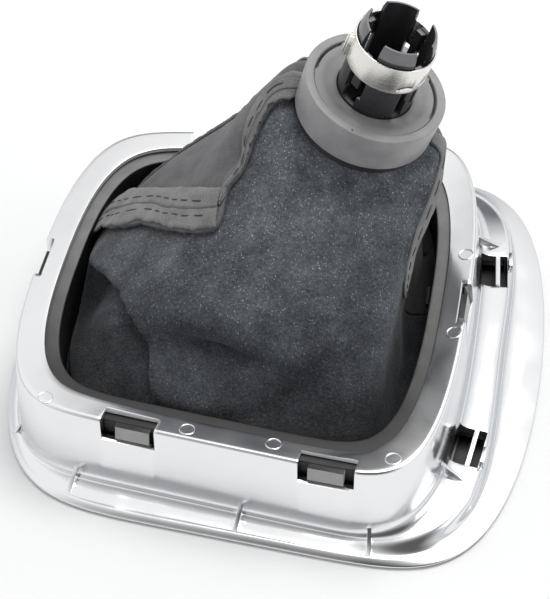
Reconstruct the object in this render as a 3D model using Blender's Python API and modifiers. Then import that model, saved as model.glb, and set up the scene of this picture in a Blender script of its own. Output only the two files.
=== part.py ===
"""Gear knob with its gaiter and bezel, seen from the fitting side.

The bezel lies face down, the gaiter is turned inside out and stands up from
the retainer frame, and the knob hangs inside it with its sleeve pointing up.
X runs along the car, Y across it, Z up, and the origin is on the table under
the middle of the bezel.  All sizes are in metres.
"""

from math import cos, exp, pi, radians, sin, sqrt

import bmesh
import bpy
from mathutils import Matrix, Vector

# Bezel: a tapered superellipse with a turned-in ring on top of a wall
RING_HALF_LENGTH = 0.0710
RING_HALF_WIDTH = 0.0710
RING_TAPER = 0.105
SIDE_POWER = 8.4
END_POWER = 2.5
RING_WIDTH = 0.0086
RING_THICKNESS = 0.0022
RING_DIP = 0.0010
RING_EDGE_RADIUS = 0.0014
BEZEL_HEIGHT = 0.0302
WALL_THICKNESS = 0.0022
WALL_DRAFT = 0.0022
WALL_FILLET = 0.0008

# Bezel flange, a rounder outline: how far it reaches past the ring at -X, at +X and at the sides
FLANGE_REACH_NEAR = 0.0077
FLANGE_REACH_FAR = 0.0255
FLANGE_REACH_SIDE = 0.0132
FLANGE_TAPER = 0.074
FLANGE_SIDE_POWER = 6.0
FLANGE_END_POWER = 2.07
FLANGE_THICKNESS = 0.0024
FLANGE_EDGE_THICKNESS = 0.0013
LIP_WIDTH = 0.0020
LIP_EXTRA_AT_END = 0.0040

# Raised ledge at the foot of the wall, wide at the +X end only
LEDGE_HEIGHT = 0.0080
LEDGE_LOW_HEIGHT = 0.0034
LEDGE_SHARE = 0.40
LEDGE_CORNER_SHARE = 0.60
LEDGE_CORNER_ANGLE = 38.0
LEDGE_LOW_SHARE = 0.30
LEDGE_FULL_ANGLE = 30.0
LEDGE_END_ANGLE = 62.0
LEDGE_CREASE_SHARE = 0.05
LEDGE_FOOT_SHARE = 0.15

# Clip windows through the top of the wall, and the frame's tabs in them
WINDOW_WIDTH = 0.0172
WINDOW_HEIGHT = 0.0082
WINDOW_NOTCH = 0.0060
END_WINDOW_NOTCH = 0.0030
FRONT_WINDOW_1_X = -0.0340
FRONT_WINDOW_2_X = 0.0277
END_WINDOW_Y = -0.0013
TAB_WIDTH = 0.0126
TAB_HEIGHT = 0.0044
TAB_SILL = 0.0010
TAB_RAMP = 0.0014
SLIT_WIDTH = 0.0014

# Fastening slots in the ledge, in pairs with a bar between, and their hooks
SLOT_LENGTH = 0.0148
SLOT_WIDTH = 0.0050
SLOT_BAR = 0.0014
OUTER_SLOT_WIDTH = 0.0026
SLOT_WALL_GAP = 0.0004
SLOT_MIDDLE_Y = -0.0028
SLOT_SPREAD = 0.0372
HOOK_LENGTH = 0.0060
HOOK_THICKNESS = 0.0012
HOOK_HEIGHT = 0.0026
HOOK_SETBACK = 0.0003
HOOK_OFFSET = 0.0037

# Gusset ribs between the wall and the flange
RIB_THICKNESS = 0.0012
RIB_REACH = 0.0090
RIB_HEIGHT = 0.0062
CORNER_RIB_REACH = 0.0034
LONG_RIB_X = (-0.0510, 0.0011, 0.0398)
CORNER_RIB_ANGLE = 222.0
END_RIB_GAP = 0.0044

# Retainer frame inside the wall
FRAME_CLEARANCE = 0.0005
FRAME_WALL = 0.0018
FRAME_TOP_GAP = 0.0004
FRAME_RIM = 0.0040
FRAME_BOTTOM = 0.0056
FRAME_LIP_TOP = 0.0100
FRAME_LIP = 0.0048

# Gaiter
SUEDE = 0.0015
SEAM_SUEDE = 0.0026
PANEL_GAP = 0.0006
SOFT_CLEARANCE = 0.0005
HEM_WIDTH = 0.0042
HEM_ROOM = 0.0036
RIM_ROOM = 0.0048
SEAM_START_ROW = 4
NECK_FOOT_DROP = 0.0058
NECK_FOOT_RADIUS = 0.0208
NECK_FLARE_DROP = 0.0078
NECK_FLARE_RADIUS = 0.0224
REAR_LEFT_SEAM = 140.0
REAR_RIGHT_SEAM = 420.0

# Knob axis, which leans to +X and a little to the front: its distance from the ring's +X end and rear side
KNOB_END_ROOM = 0.0351
KNOB_SIDE_ROOM = 0.0413
KNOB_LEAN_X = 0.315
KNOB_LEAN_Y = -0.065
KNOB_LENGTH = 0.0900
KNOB_REST_GAP = 0.0005

# Collar that the gaiter's neck is tied to
COLLAR_TOP_RADIUS = 0.0229
COLLAR_FOOT_RADIUS = 0.0225
COLLAR_HEIGHT = 0.0134
COLLAR_RIM = 0.0031
COLLAR_EDGE_ROUND = 0.0005
COLLAR_WALL = 0.0019
COLLAR_SHELF = 0.0042
COLLAR_SHELF_THICKNESS = 0.0018
COLLAR_SKIRT_RADIUS = 0.0174
COLLAR_SKIRT_WALL = 0.0016
COLLAR_SKIRT_DROP = 0.0184
COLLAR_GROOVE = 0.0008
PLATE_STEP = 0.0004
PLATE_FLAT = 0.0022
PLATE_DISH = 0.0010
PLATE_DISH_RISE = 0.0003
TIE_THICKNESS = 0.0012
TIE_HEIGHT = 0.0030
NECK_TUCK = 0.0050

# Sleeve with its fingers, and the steel band round it
SLEEVE_RADIUS = 0.0121
SLEEVE_BORE_RADIUS = 0.0104
SLEEVE_HEIGHT = 0.0259
SLEEVE_TIP_RADIUS = 0.0111
SLEEVE_TIP_HEIGHT = 0.0030
SLEEVE_DEPTH = 0.0220
FINGER_COUNT = 4
FINGER_TURN = 96.0
FINGER_SHARE = 0.62
FINGER_SLOT = 0.0021
FINGER_SLOT_START = 0.0030
TONGUE_HEIGHT = 0.0190
TONGUE_CUT_WIDTH = 0.0067
BAND_START = 0.0107
BAND_WIDTH = 0.0098
BAND_THICKNESS = 0.0006
BAND_EAR = 0.0018
BAND_EAR_THICKNESS = 0.0018
BAND_EAR_WIDTH = 0.0078
BAND_EAR_TURN = 192.0
BUSH_BORE_RADIUS = 0.0055
BUSH_HEIGHT = 0.0120

# Knob under the gaiter
CORE_TOP = 0.0195
CORE_NECK_RADIUS = 0.0152
CORE_WAIST_RADIUS = 0.0141
CORE_WAIST_DROP = 0.0140
CORE_BELLY_RADIUS = 0.0180
CORE_BELLY_DROP = 0.0400
CORE_END_RADIUS = 0.0169
WRAP_THICKNESS = 0.0020
WRAP_EDGE_THICKNESS = 0.0014
WRAP_SEAM = 0.0006
TRIM_HEIGHT = 0.0034
TRIM_PROUD = 0.0006
CAP_HEIGHT = 0.0110
CAP_EDGE_RADIUS = 0.0095
DISC_RADIUS = 0.0085
DISC_THICKNESS = 0.0012
GATE_WIDTH = 0.0010
GATE_DEPTH = 0.0004
GATE_LENGTH = 0.0090
GATE_SPACING = 0.0040

# Staples that hold the hem down
STAPLE_COUNT = 12
STAPLE_LENGTH = 0.0080
STAPLE_WIDTH = 0.0009
STAPLE_THICKNESS = 0.0006
STAPLE_INSET = 0.0014

# Shared
FIT = 0.0003
OUTLINE_POINTS = 56
CORNER_CROWDING = 0.14
ROUND_STEPS = 36
COLLAR_STEPS = 48
CAP_ARC_STEPS = 4
BISECTIONS = 44
TANGENT_STEP = 0.5
SHARP_ANGLE = 30.0
SOFT_SHARP_ANGLE = 60.0
CUT = 0.0200

# How far the gaiter billows out from a straight cone, by angle
BILLOW = (
    (0.0, -0.0060), (55.0, 0.0010), (95.0, 0.0060), (130.0, 0.0080), (165.0, 0.0120),
    (200.0, 0.0150), (235.0, 0.0150), (270.0, 0.0140), (305.0, 0.0050), (335.0, -0.0040),
)
# Where the gaiter puffs up round the collar: angle, angle reach, extra radius, rise
NECK_PUFFS = ((158.0, 40.0, 0.0050, 0.0085), (8.0, 36.0, 0.0042, 0.0050))
# Folds of the gaiter: angle, height share, angle reach, height reach, depth
FOLDS = (
    (198.0, 0.15, 13.0, 0.09, -0.0060),
    (222.0, 0.17, 12.0, 0.09, -0.0065),
    (240.0, 0.11, 9.0, 0.07, -0.0045),
    (212.0, 0.36, 16.0, 0.09, 0.0020),
    (268.0, 0.44, 20.0, 0.10, 0.0025),
    (286.0, 0.22, 16.0, 0.09, -0.0035),
    (318.0, 0.24, 11.0, 0.16, -0.0030),
    (165.0, 0.62, 30.0, 0.18, -0.0060),
)
# Course of the L-shaped seam and of the right seam: height share, angle
LEFT_SEAM = (
    (0.0, 158.0), (0.16, 162.0), (0.30, 177.0), (0.50, 195.0), (0.61, 210.0),
    (0.70, 223.0), (0.76, 218.0), (0.84, 210.0), (0.92, 194.0), (1.0, 183.0),
)
RIGHT_SEAM = (
    (0.0, 368.0), (0.30, 350.0), (0.61, 329.0), (0.70, 327.0), (0.84, 340.0), (0.92, 354.0), (1.0, 364.0),
)
GAITER_ROWS = (0.0, 0.03, 0.07, 0.13, 0.21, 0.30, 0.40, 0.50, 0.61, 0.70, 0.76, 0.84, 0.92, 1.0)
PANEL_COLUMNS = {"left": 8, "front": 18, "right": 8, "rear": 9}

MODEL = "gear_knob"
RING_CENTRE_X = (FLANGE_REACH_NEAR - FLANGE_REACH_FAR) / 2
KNOB_X = RING_CENTRE_X + RING_HALF_LENGTH - KNOB_END_ROOM
KNOB_Y = RING_HALF_WIDTH - KNOB_SIDE_ROOM
LEAN = Vector((KNOB_LEAN_X, KNOB_LEAN_Y, 1.0)).normalized()
KNOB_HEIGHT = (
    KNOB_REST_GAP + CAP_EDGE_RADIUS
    + (KNOB_LENGTH - CAP_EDGE_RADIUS) * LEAN.z
    + DISC_RADIUS * sqrt(1.0 - LEAN.z ** 2)
)
KNOB_MATRIX = (
    Matrix.Translation((KNOB_X, KNOB_Y, KNOB_HEIGHT))
    @ Vector((0, 0, 1)).rotation_difference(LEAN).to_matrix().to_4x4()
)
FLANGE_HALF_LENGTH = RING_HALF_LENGTH + (FLANGE_REACH_NEAR + FLANGE_REACH_FAR) / 2
FLANGE_HALF_WIDTH = RING_HALF_WIDTH + FLANGE_REACH_SIDE
FRAME_OUTER_INSET = WALL_THICKNESS + FRAME_CLEARANCE
FRAME_RIM_INSET = RING_WIDTH + FRAME_RIM
FRAME_TOP = BEZEL_HEIGHT - RING_THICKNESS - FRAME_TOP_GAP
HEM_Z = FRAME_LIP_TOP + FIT
NECK_RADIUS = COLLAR_SKIRT_RADIUS + SOFT_CLEARANCE


def clear_scene():
    """Remove every object that the start-up scene holds."""
    for thing in list(bpy.data.objects):
        bpy.data.objects.remove(thing, do_unlink=True)


def collection(name):
    """A collection of the given name, linked to the scene."""
    group = bpy.data.collections.new(name)
    bpy.context.scene.collection.children.link(group)
    return group


def material(name, colour, roughness, metallic=0.0):
    """A Principled material with one colour."""
    made = bpy.data.materials.new(name)
    made.use_nodes = True
    shader = made.node_tree.nodes["Principled BSDF"]
    shader.inputs["Base Color"].default_value = (*colour, 1.0)
    shader.inputs["Roughness"].default_value = roughness
    shader.inputs["Metallic"].default_value = metallic
    return made


def add_object(name, mesh, group, look=None, parent=None):
    """Link a mesh as a named object."""
    made = bpy.data.objects.new(name, mesh)
    group.objects.link(made)
    if look:
        mesh.materials.append(look)
    if parent:
        made.parent = parent
    return made


def smooth(mesh, angle):
    """Shade a mesh smooth, with sharp edges past an angle."""
    mesh.shade_smooth()
    mesh.set_sharp_from_angle(angle=radians(angle))


def add_cutter(target, cutter, operation="DIFFERENCE"):
    """Cut or join the target with another object."""
    step = target.modifiers.new(operation.lower(), "BOOLEAN")
    step.operation = operation
    step.solver = "EXACT"
    step.object = cutter
    cutter.hide_render = True
    cutter.display_type = "WIRE"


def box(name, size, matrix, group):
    """A box of the given size with its scale applied."""
    mesh = bpy.data.meshes.new(name)
    work = bmesh.new()
    bmesh.ops.create_cube(work, size=1.0, matrix=Matrix.Diagonal((*size, 1.0)))
    work.to_mesh(mesh)
    work.free()
    made = add_object(name, mesh, group)
    made.matrix_world = matrix
    return made


def superellipse(half_length, half_width, taper, side_power, end_power, centre_x, angle):
    """The point of a tapered superellipse that lies at an angle, in degrees."""
    across = abs(cos(radians(angle))) / half_length
    along = abs(sin(radians(angle))) / half_width
    low, high = 0.0, half_length + half_width
    for _ in range(BISECTIONS):
        middle = (low + high) / 2
        if (middle * across) ** side_power + (middle * along) ** end_power < 1.0:
            low = middle
        else:
            high = middle
    x = low * cos(radians(angle))
    y = low * sin(radians(angle)) * (1 + taper * x / half_length)
    return Vector((centre_x + x, y, 0.0))


def ring_point(angle, inset=0.0):
    """A point of the ring's outline, moved in by an inset."""
    return superellipse(
        RING_HALF_LENGTH - inset, RING_HALF_WIDTH - inset, RING_TAPER,
        SIDE_POWER, END_POWER, RING_CENTRE_X, angle,
    )


def flange_point(angle, inset=0.0):
    """A point of the flange's outline, moved in by an inset."""
    return superellipse(
        FLANGE_HALF_LENGTH - inset, FLANGE_HALF_WIDTH - inset, FLANGE_TAPER,
        FLANGE_SIDE_POWER, FLANGE_END_POWER, 0.0, angle,
    )


def ledge_amount(angle):
    """One over the wide part of the ledge, nought where it is narrow."""
    end = cos(radians(LEDGE_END_ANGLE))
    full = cos(radians(LEDGE_FULL_ANGLE))
    share = min(1.0, max(0.0, (cos(radians(angle)) - end) / (full - end)))
    return share * share * (3 - 2 * share)


def ledge_point(angle, inset=0.0):
    """A point of the ledge's outer edge."""
    corner = (sin(radians(angle)) / sin(radians(LEDGE_CORNER_ANGLE))) ** 2
    wide = LEDGE_SHARE + (LEDGE_CORNER_SHARE - LEDGE_SHARE) * min(1.0, corner)
    share = LEDGE_LOW_SHARE + (wide - LEDGE_LOW_SHARE) * ledge_amount(angle)
    return ring_point(angle, inset - WALL_DRAFT).lerp(flange_point(angle, inset), share)


def ledge_height(angle):
    """Height of the ledge's top at an angle."""
    return LEDGE_LOW_HEIGHT + (LEDGE_HEIGHT - LEDGE_LOW_HEIGHT) * ledge_amount(angle)


def outline_angles():
    """The angles at which every outline has its points, closer together at the corners."""
    made = []
    for step in range(OUTLINE_POINTS):
        turn = 2 * pi * step / OUTLINE_POINTS
        made.append((turn + CORNER_CROWDING * sin(4 * turn)) * 180.0 / pi)
    return made


def loop(point, height):
    """A closed loop of points from an outline function and a height or height function."""
    made = []
    for angle in outline_angles():
        place = point(angle)
        place.z = height(angle) if callable(height) else height
        made.append(place)
    return made


def ring_loft(name, loops, group, look):
    """A closed ring whose section is the given loops, each joined to the next."""
    mesh = bpy.data.meshes.new(name)
    work = bmesh.new()
    rows = [[work.verts.new(place) for place in row] for row in loops]
    count = len(rows[0])
    for index, row in enumerate(rows):
        other = rows[(index + 1) % len(rows)]
        for step in range(count):
            after = (step + 1) % count
            work.faces.new((row[step], other[step], other[after], row[after]))
    bmesh.ops.recalc_face_normals(work, faces=work.faces[:])
    work.to_mesh(mesh)
    work.free()
    smooth(mesh, SHARP_ANGLE)
    return add_object(name, mesh, group, look)


def turned(name, profile, group, look, parent, steps=ROUND_STEPS):
    """A solid of revolution about the knob's axis from a closed profile of (radius, height)."""
    mesh = bpy.data.meshes.new(name)
    work = bmesh.new()
    corners = [work.verts.new((radius, 0.0, height)) for radius, height in profile]
    for index, corner in enumerate(corners[:-1]):
        work.edges.new((corner, corners[index + 1]))
    if profile[0][0] > 0.0 or profile[-1][0] > 0.0:
        work.edges.new((corners[-1], corners[0]))
    work.to_mesh(mesh)
    work.free()
    made = add_object(name, mesh, group, look, parent)
    spin = made.modifiers.new("turn", "SCREW")
    spin.axis = "Z"
    spin.angle = 2 * pi
    spin.steps = steps
    spin.render_steps = steps
    spin.use_merge_vertices = True
    spin.merge_threshold = 0.00001
    spin.use_smooth_shade = True
    return made


def wall_frame(angle, inset=0.0, height=0.0):
    """A matrix on the wall at an angle: X along the wall, Y outward, Z up."""
    here = ring_point(angle, inset)
    ahead = ring_point(angle + TANGENT_STEP, inset) - ring_point(angle - TANGENT_STEP, inset)
    along = ahead.normalized()
    outward = Vector((along.y, -along.x, 0.0))
    here.z = height
    turn = Matrix((outward.cross(Vector((0, 0, 1))), outward, Vector((0, 0, 1)))).transposed()
    return Matrix.Translation(here) @ turn.to_4x4()


def angle_at_x(x, side):
    """The outline angle on the front (-1) or rear (1) wall at a given X."""
    low, high = 20.0, 160.0
    for _ in range(BISECTIONS):
        middle = (low + high) / 2
        if ring_point(side * middle).x > x:
            low = middle
        else:
            high = middle
    return side * low


def angle_at_y(y, end):
    """The outline angle on the +X (1) or -X (-1) end at a given Y."""
    low, high = -60.0, 60.0
    for _ in range(BISECTIONS):
        middle = (low + high) / 2
        if ring_point(middle if end > 0 else 180.0 - middle).y < y:
            low = middle
        else:
            high = middle
    return low if end > 0 else 180.0 - low


def windows():
    """Outline angle and notch depth of the six clip windows: two front, two rear, one at each end."""
    front = [angle_at_x(x, -1) for x in (FRONT_WINDOW_1_X, FRONT_WINDOW_2_X)]
    long_sides = [(side * angle, WINDOW_NOTCH) for side in (1, -1) for angle in front]
    ends = [(angle_at_y(END_WINDOW_Y, end), END_WINDOW_NOTCH) for end in (-1, 1)]
    return long_sides + ends


def rib(name, matrix, reach, height, group):
    """A triangular rib: its upright side on the wall, its foot on the flange."""
    curve = bpy.data.curves.new(name, "CURVE")
    curve.dimensions = "2D"
    curve.fill_mode = "BOTH"
    curve.extrude = RIB_THICKNESS / 2
    line = curve.splines.new("POLY")
    corners = ((-WALL_THICKNESS / 2, 0.0), (reach, 0.0), (-WALL_THICKNESS / 2, height))
    line.points.add(len(corners) - 1)
    for point, (across, up) in zip(line.points, corners):
        point.co = (across, up, 0.0, 1.0)
    line.use_cyclic_u = True
    drawn = bpy.data.objects.new(name + "_curve", curve)
    group.objects.link(drawn)
    stand = Matrix(((0, 0, 1, 0), (1, 0, 0, 0), (0, 1, 0, 0), (0, 0, 0, 1)))
    bpy.context.view_layer.update()
    solid = bpy.data.meshes.new_from_object(drawn.evaluated_get(bpy.context.evaluated_depsgraph_get()))
    bpy.data.objects.remove(drawn)
    work = bmesh.new()
    work.from_mesh(solid)
    bmesh.ops.remove_doubles(work, verts=work.verts[:], dist=0.00001)
    work.to_mesh(solid)
    work.free()
    made = add_object(name, solid, group)
    made.matrix_world = matrix @ stand
    return made


def slot_frame(side, height):
    """A matrix at the foot of the +X wall where a pair of slots lies."""
    place = SLOT_MIDDLE_Y + side * SLOT_SPREAD
    return wall_frame(angle_at_y(place, 1), -WALL_DRAFT - SLOT_WALL_GAP, height)


def make_bezel(group, cutters, look):
    """Chrome bezel: turned-in ring, drafted wall, ledge and flange in one moulding."""
    edge = RING_EDGE_RADIUS
    diagonal = edge * (1 - sqrt(0.5))
    top = BEZEL_HEIGHT
    under = BEZEL_HEIGHT - RING_THICKNESS
    foot = -WALL_DRAFT
    loops = [
        loop(lambda a: ring_point(a, RING_WIDTH), top - RING_DIP),
        loop(lambda a: ring_point(a, edge), top),
        loop(lambda a: ring_point(a, diagonal), top - diagonal),
        loop(ring_point, top - edge),
        loop(lambda a: ring_point(a, foot + WALL_FILLET / 2), lambda a: ledge_height(a) + 2 * WALL_FILLET),
        loop(lambda a: ring_point(a, foot - WALL_FILLET), ledge_height),
        loop(lambda a: ledge_point(a, WALL_FILLET), ledge_height),
        loop(ledge_point, lambda a: ledge_height(a) - WALL_FILLET),
        loop(
            lambda a: ledge_point(a).lerp(flange_point(a), LEDGE_CREASE_SHARE),
            FLANGE_THICKNESS + WALL_FILLET / 2,
        ),
        loop(lambda a: ledge_point(a).lerp(flange_point(a), LEDGE_FOOT_SHARE), FLANGE_THICKNESS),
        loop(lambda a: flange_point(a, LIP_WIDTH + LIP_EXTRA_AT_END * ledge_amount(a)), FLANGE_THICKNESS),
        loop(flange_point, FLANGE_EDGE_THICKNESS),
        loop(lambda a: flange_point(a, FLANGE_EDGE_THICKNESS / 2), 0.0),
        loop(lambda a: ledge_point(a, FLANGE_THICKNESS), 0.0),
        loop(lambda a: ledge_point(a, FLANGE_THICKNESS), lambda a: ledge_height(a) - FLANGE_THICKNESS),
        loop(lambda a: ring_point(a, foot + WALL_THICKNESS), lambda a: ledge_height(a) - FLANGE_THICKNESS),
        loop(lambda a: ring_point(a, WALL_THICKNESS), under),
        loop(lambda a: ring_point(a, RING_WIDTH), under),
    ]
    bezel = ring_loft("bezel", loops, group, look)

    sill = BEZEL_HEIGHT - WINDOW_HEIGHT
    for number, (angle, notch) in enumerate(windows()):
        reach = notch + CUT
        place = wall_frame(angle, 0.0, sill + CUT / 2) @ Matrix.Translation((0, reach / 2 - notch, 0))
        cut = box(f"window_cut_{number}", (WINDOW_WIDTH, reach, CUT), place, cutters)
        add_cutter(bezel, cut)

    for number, side in enumerate((-1, 1)):
        base = slot_frame(side, LEDGE_HEIGHT)
        near = SLOT_WIDTH / 2
        far = SLOT_WIDTH + SLOT_BAR + OUTER_SLOT_WIDTH / 2
        for name, shift, width in (("inner", near, SLOT_WIDTH), ("outer", far, OUTER_SLOT_WIDTH)):
            cut = box(
                f"slot_cut_{name}_{number}", (SLOT_LENGTH, width, CUT),
                base @ Matrix.Translation((0, shift, 0)), cutters,
            )
            add_cutter(bezel, cut)
        root = FLANGE_THICKNESS / 2
        shift = Matrix.Translation((
            -side * HOOK_OFFSET,
            far + OUTER_SLOT_WIDTH / 2 + HOOK_SETBACK + HOOK_THICKNESS / 2,
            (HOOK_HEIGHT - root) / 2,
        ))
        hook = box(f"hook_{number}", (HOOK_LENGTH, HOOK_THICKNESS, HOOK_HEIGHT + root), base @ shift, cutters)
        add_cutter(bezel, hook, "UNION")

    low = FLANGE_THICKNESS / 2
    ribs = [(angle_at_x(x, side), RIB_REACH, low) for side in (-1, 1) for x in LONG_RIB_X]
    ribs += [(side * CORNER_RIB_ANGLE, CORNER_RIB_REACH, low) for side in (-1, 1)]
    for side in (-1, 1):
        beside = SLOT_MIDDLE_Y + side * (SLOT_SPREAD + SLOT_LENGTH / 2 + END_RIB_GAP)
        ribs.append((angle_at_y(beside, 1), RIB_REACH, LEDGE_HEIGHT - low))
    for number, (angle, reach, height) in enumerate(ribs):
        piece = rib(f"rib_{number}", wall_frame(angle, foot, height), reach, RIB_HEIGHT, cutters)
        add_cutter(bezel, piece, "UNION")
    return bezel


def make_frame(group, cutters, look):
    """Retainer frame: a channel under the ring, with a lip for the hem and six snap tabs."""
    outer = FRAME_OUTER_INSET
    inner = FRAME_RIM_INSET
    section = [
        (outer, FRAME_BOTTOM),
        (outer, FRAME_TOP),
        (inner, FRAME_TOP),
        (inner, FRAME_LIP_TOP),
        (inner + FRAME_LIP, FRAME_LIP_TOP),
        (inner + FRAME_LIP, FRAME_LIP_TOP - FRAME_WALL),
        (inner - FRAME_WALL, FRAME_LIP_TOP - FRAME_WALL),
        (inner - FRAME_WALL, FRAME_TOP - FRAME_WALL),
        (outer + FRAME_WALL, FRAME_TOP - FRAME_WALL),
        (outer + FRAME_WALL, FRAME_BOTTOM),
    ]
    loops = [loop(lambda a, i=inset: ring_point(a, i), height) for inset, height in section]
    frame = ring_loft("retainer_frame", loops, group, look)

    sill = BEZEL_HEIGHT - WINDOW_HEIGHT + TAB_SILL
    for number, (angle, _) in enumerate(windows()):
        reach = outer + FRAME_WALL / 2
        place = wall_frame(angle, reach / 2, sill + TAB_HEIGHT / 2)
        tab = box(f"tab_{number}", (TAB_WIDTH, reach, TAB_HEIGHT), place, cutters)
        ramp = tab.modifiers.new("ramp", "BEVEL")
        ramp.width = TAB_RAMP
        ramp.segments = 1
        ramp.limit_method = "WEIGHT"
        weights = tab.data.attributes.new("bevel_weight_edge", "FLOAT", "EDGE")
        for edge in tab.data.edges:
            ends = [tab.data.vertices[index].co for index in edge.vertices]
            is_top_outer = all(end.y > 0 and end.z > 0 for end in ends)
            weights.data[edge.index].value = 1.0 if is_top_outer else 0.0
        add_cutter(frame, tab, "UNION")
        slit_inset = RING_WIDTH + SLIT_WIDTH
        place = wall_frame(angle, slit_inset, FRAME_TOP)
        slit = box(f"slit_{number}", (TAB_WIDTH, SLIT_WIDTH, CUT / 4), place, cutters)
        add_cutter(frame, slit)
    return frame


def course(line, share):
    """Value at a share along a list of (share, value) pairs."""
    for (start, first), (end, second) in zip(line, line[1:]):
        if share <= end:
            return first + (second - first) * (share - start) / (end - start)
    return line[-1][1]


def billow(angle):
    """How far the gaiter bulges out at an angle, blended between the named places."""
    angle %= 360.0
    ring = list(BILLOW) + [(BILLOW[0][0] + 360.0, BILLOW[0][1])]
    for (start, first), (end, second) in zip(ring, ring[1:]):
        if angle <= end:
            part = (1 - cos(pi * (angle - start) / (end - start))) / 2
            return first + (second - first) * part
    return ring[-1][1]


def fold_depth(angle, share):
    """Sum of the folds at a place on the gaiter."""
    total = 0.0
    for at, height, reach, tall, depth in FOLDS:
        turn = (angle - at + 180.0) % 360.0 - 180.0
        total += depth * exp(-((turn / reach) ** 2) - ((share - height) / tall) ** 2)
    return total


def neck_point(angle, radius, drop):
    """A point round the knob's axis, at a drop below the collar's top."""
    return KNOB_MATRIX @ Vector((radius * cos(radians(angle)), radius * sin(radians(angle)), -drop))


def flare_point(angle):
    """Where the gaiter turns in under the collar, with its puffs."""
    radius = NECK_FLARE_RADIUS
    drop = COLLAR_HEIGHT + NECK_FLARE_DROP
    for at, reach, extra, rise in NECK_PUFFS:
        turn = (angle - at + 180.0) % 360.0 - 180.0
        share = exp(-((turn / reach) ** 2))
        radius += extra * share
        drop -= rise * share
    return neck_point(angle, radius, drop)


def hold_inside(place):
    """Keep a low point of the gaiter clear of the frame's inner wall and of the hem."""
    limit = FRAME_RIM_INSET + SEAM_SUEDE + SOFT_CLEARANCE
    if place.z < HEM_Z + HEM_ROOM:
        limit = FRAME_RIM_INSET + HEM_WIDTH + SOFT_CLEARANCE
    if place.z > FRAME_TOP + RIM_ROOM:
        return place
    centre = Vector((RING_CENTRE_X, 0.0, 0.0))
    flat = Vector((place.x, place.y, 0.0)) - centre
    half_length = RING_HALF_LENGTH - limit
    lean = 1 + RING_TAPER * flat.x / half_length
    angle = Vector((1, 0)).angle_signed(Vector((flat.x, flat.y / lean)))
    edge = ring_point(-angle * 180.0 / pi, limit) - centre
    if flat.length > edge.length:
        flat = edge
    return Vector((centre.x + flat.x, flat.y, place.z))


def gaiter_point(angle, share):
    """Inner face of the gaiter between its hem (share 0) and its neck (share 1)."""
    base = ring_point(angle, FRAME_RIM_INSET + HEM_WIDTH + SOFT_CLEARANCE)
    base.z = HEM_Z
    place = base.lerp(flare_point(angle), share)
    outward = Vector((cos(radians(angle)), sin(radians(angle)), 0.0))
    swell = billow(angle) * sin(pi * sqrt(share)) + fold_depth(angle, share) * (share > 0.0)
    return hold_inside(place + outward * swell)


def panel_angle(panel, step, share):
    """Angle of a panel's column: its edges follow the seams."""
    left = course(LEFT_SEAM, share)
    right = course(RIGHT_SEAM, share)
    edges = {
        "left": (REAR_LEFT_SEAM, left),
        "front": (left, right),
        "right": (right, REAR_RIGHT_SEAM),
        "rear": (REAR_RIGHT_SEAM, REAR_LEFT_SEAM + 360.0),
    }
    start, end = edges[panel]
    return start + (end - start) * step / PANEL_COLUMNS[panel]


def panel_rows(panel):
    """Rows of points of one panel, from the hem's outer edge to the tucked neck."""
    columns = PANEL_COLUMNS[panel]
    rows = []
    hem = []
    for step in range(columns + 1):
        place = ring_point(panel_angle(panel, step, 0.0), FRAME_RIM_INSET + SOFT_CLEARANCE)
        place.z = HEM_Z
        hem.append(place)
    rows.append(hem)
    for share in GAITER_ROWS:
        rows.append([gaiter_point(panel_angle(panel, step, share), share) for step in range(columns + 1)])
    turned_in = (
        (NECK_FOOT_RADIUS, COLLAR_HEIGHT + NECK_FOOT_DROP),
        (NECK_RADIUS, COLLAR_SKIRT_DROP - FIT),
        (NECK_RADIUS, NECK_TUCK + COLLAR_SHELF),
    )
    turns = [panel_angle(panel, step, 1.0) for step in range(columns + 1)]
    for radius, drop in turned_in:
        rows.append([neck_point(turn, radius, drop) for turn in turns])
    for row in rows:
        for edge, inner in ((0, 1), (-1, -2)):
            pull = row[inner] - row[edge]
            row[edge] = row[edge] + pull.normalized() * PANEL_GAP / 2
    return rows


def make_panel(panel, group, look):
    """One sewn panel: an open surface thickened outward, thicker along its seams."""
    rows = panel_rows(panel)
    name = f"gaiter_{panel}_panel"
    mesh = bpy.data.meshes.new(name)
    work = bmesh.new()
    verts = [[work.verts.new(place) for place in row] for row in rows]
    for low, high in zip(verts, verts[1:]):
        for step in range(len(low) - 1):
            work.faces.new((low[step], low[step + 1], high[step + 1], high[step]))
    work.to_mesh(mesh)
    work.free()
    smooth(mesh, SOFT_SHARP_ANGLE)
    made = add_object(name, mesh, group, look)
    thick = made.vertex_groups.new(name="seam")
    columns = PANEL_COLUMNS[panel] + 1
    plain = SUEDE / SEAM_SUEDE
    last = len(GAITER_ROWS) - 2
    for number, row in enumerate(rows):
        for step in range(columns):
            is_seam = step in (0, 1, columns - 2, columns - 1) and SEAM_START_ROW <= number <= last
            thick.add([number * columns + step], 1.0 if is_seam else plain, "REPLACE")
    solid = made.modifiers.new("thickness", "SOLIDIFY")
    solid.thickness = SEAM_SUEDE
    solid.offset = 1.0
    solid.use_even_offset = False
    solid.vertex_group = thick.name
    return made


def make_staples(group, look):
    """Staples along the hem, one object each."""
    inset = FRAME_RIM_INSET + SOFT_CLEARANCE + STAPLE_INSET
    height = HEM_Z + SUEDE + FIT + STAPLE_THICKNESS / 2
    size = (STAPLE_LENGTH, STAPLE_WIDTH, STAPLE_THICKNESS)
    for number in range(STAPLE_COUNT):
        angle = 360.0 * (number + 0.5) / STAPLE_COUNT
        staple = box(f"hem_staple_{number + 1}", size, wall_frame(angle, inset, height), group)
        staple.data.materials.append(look)


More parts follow.
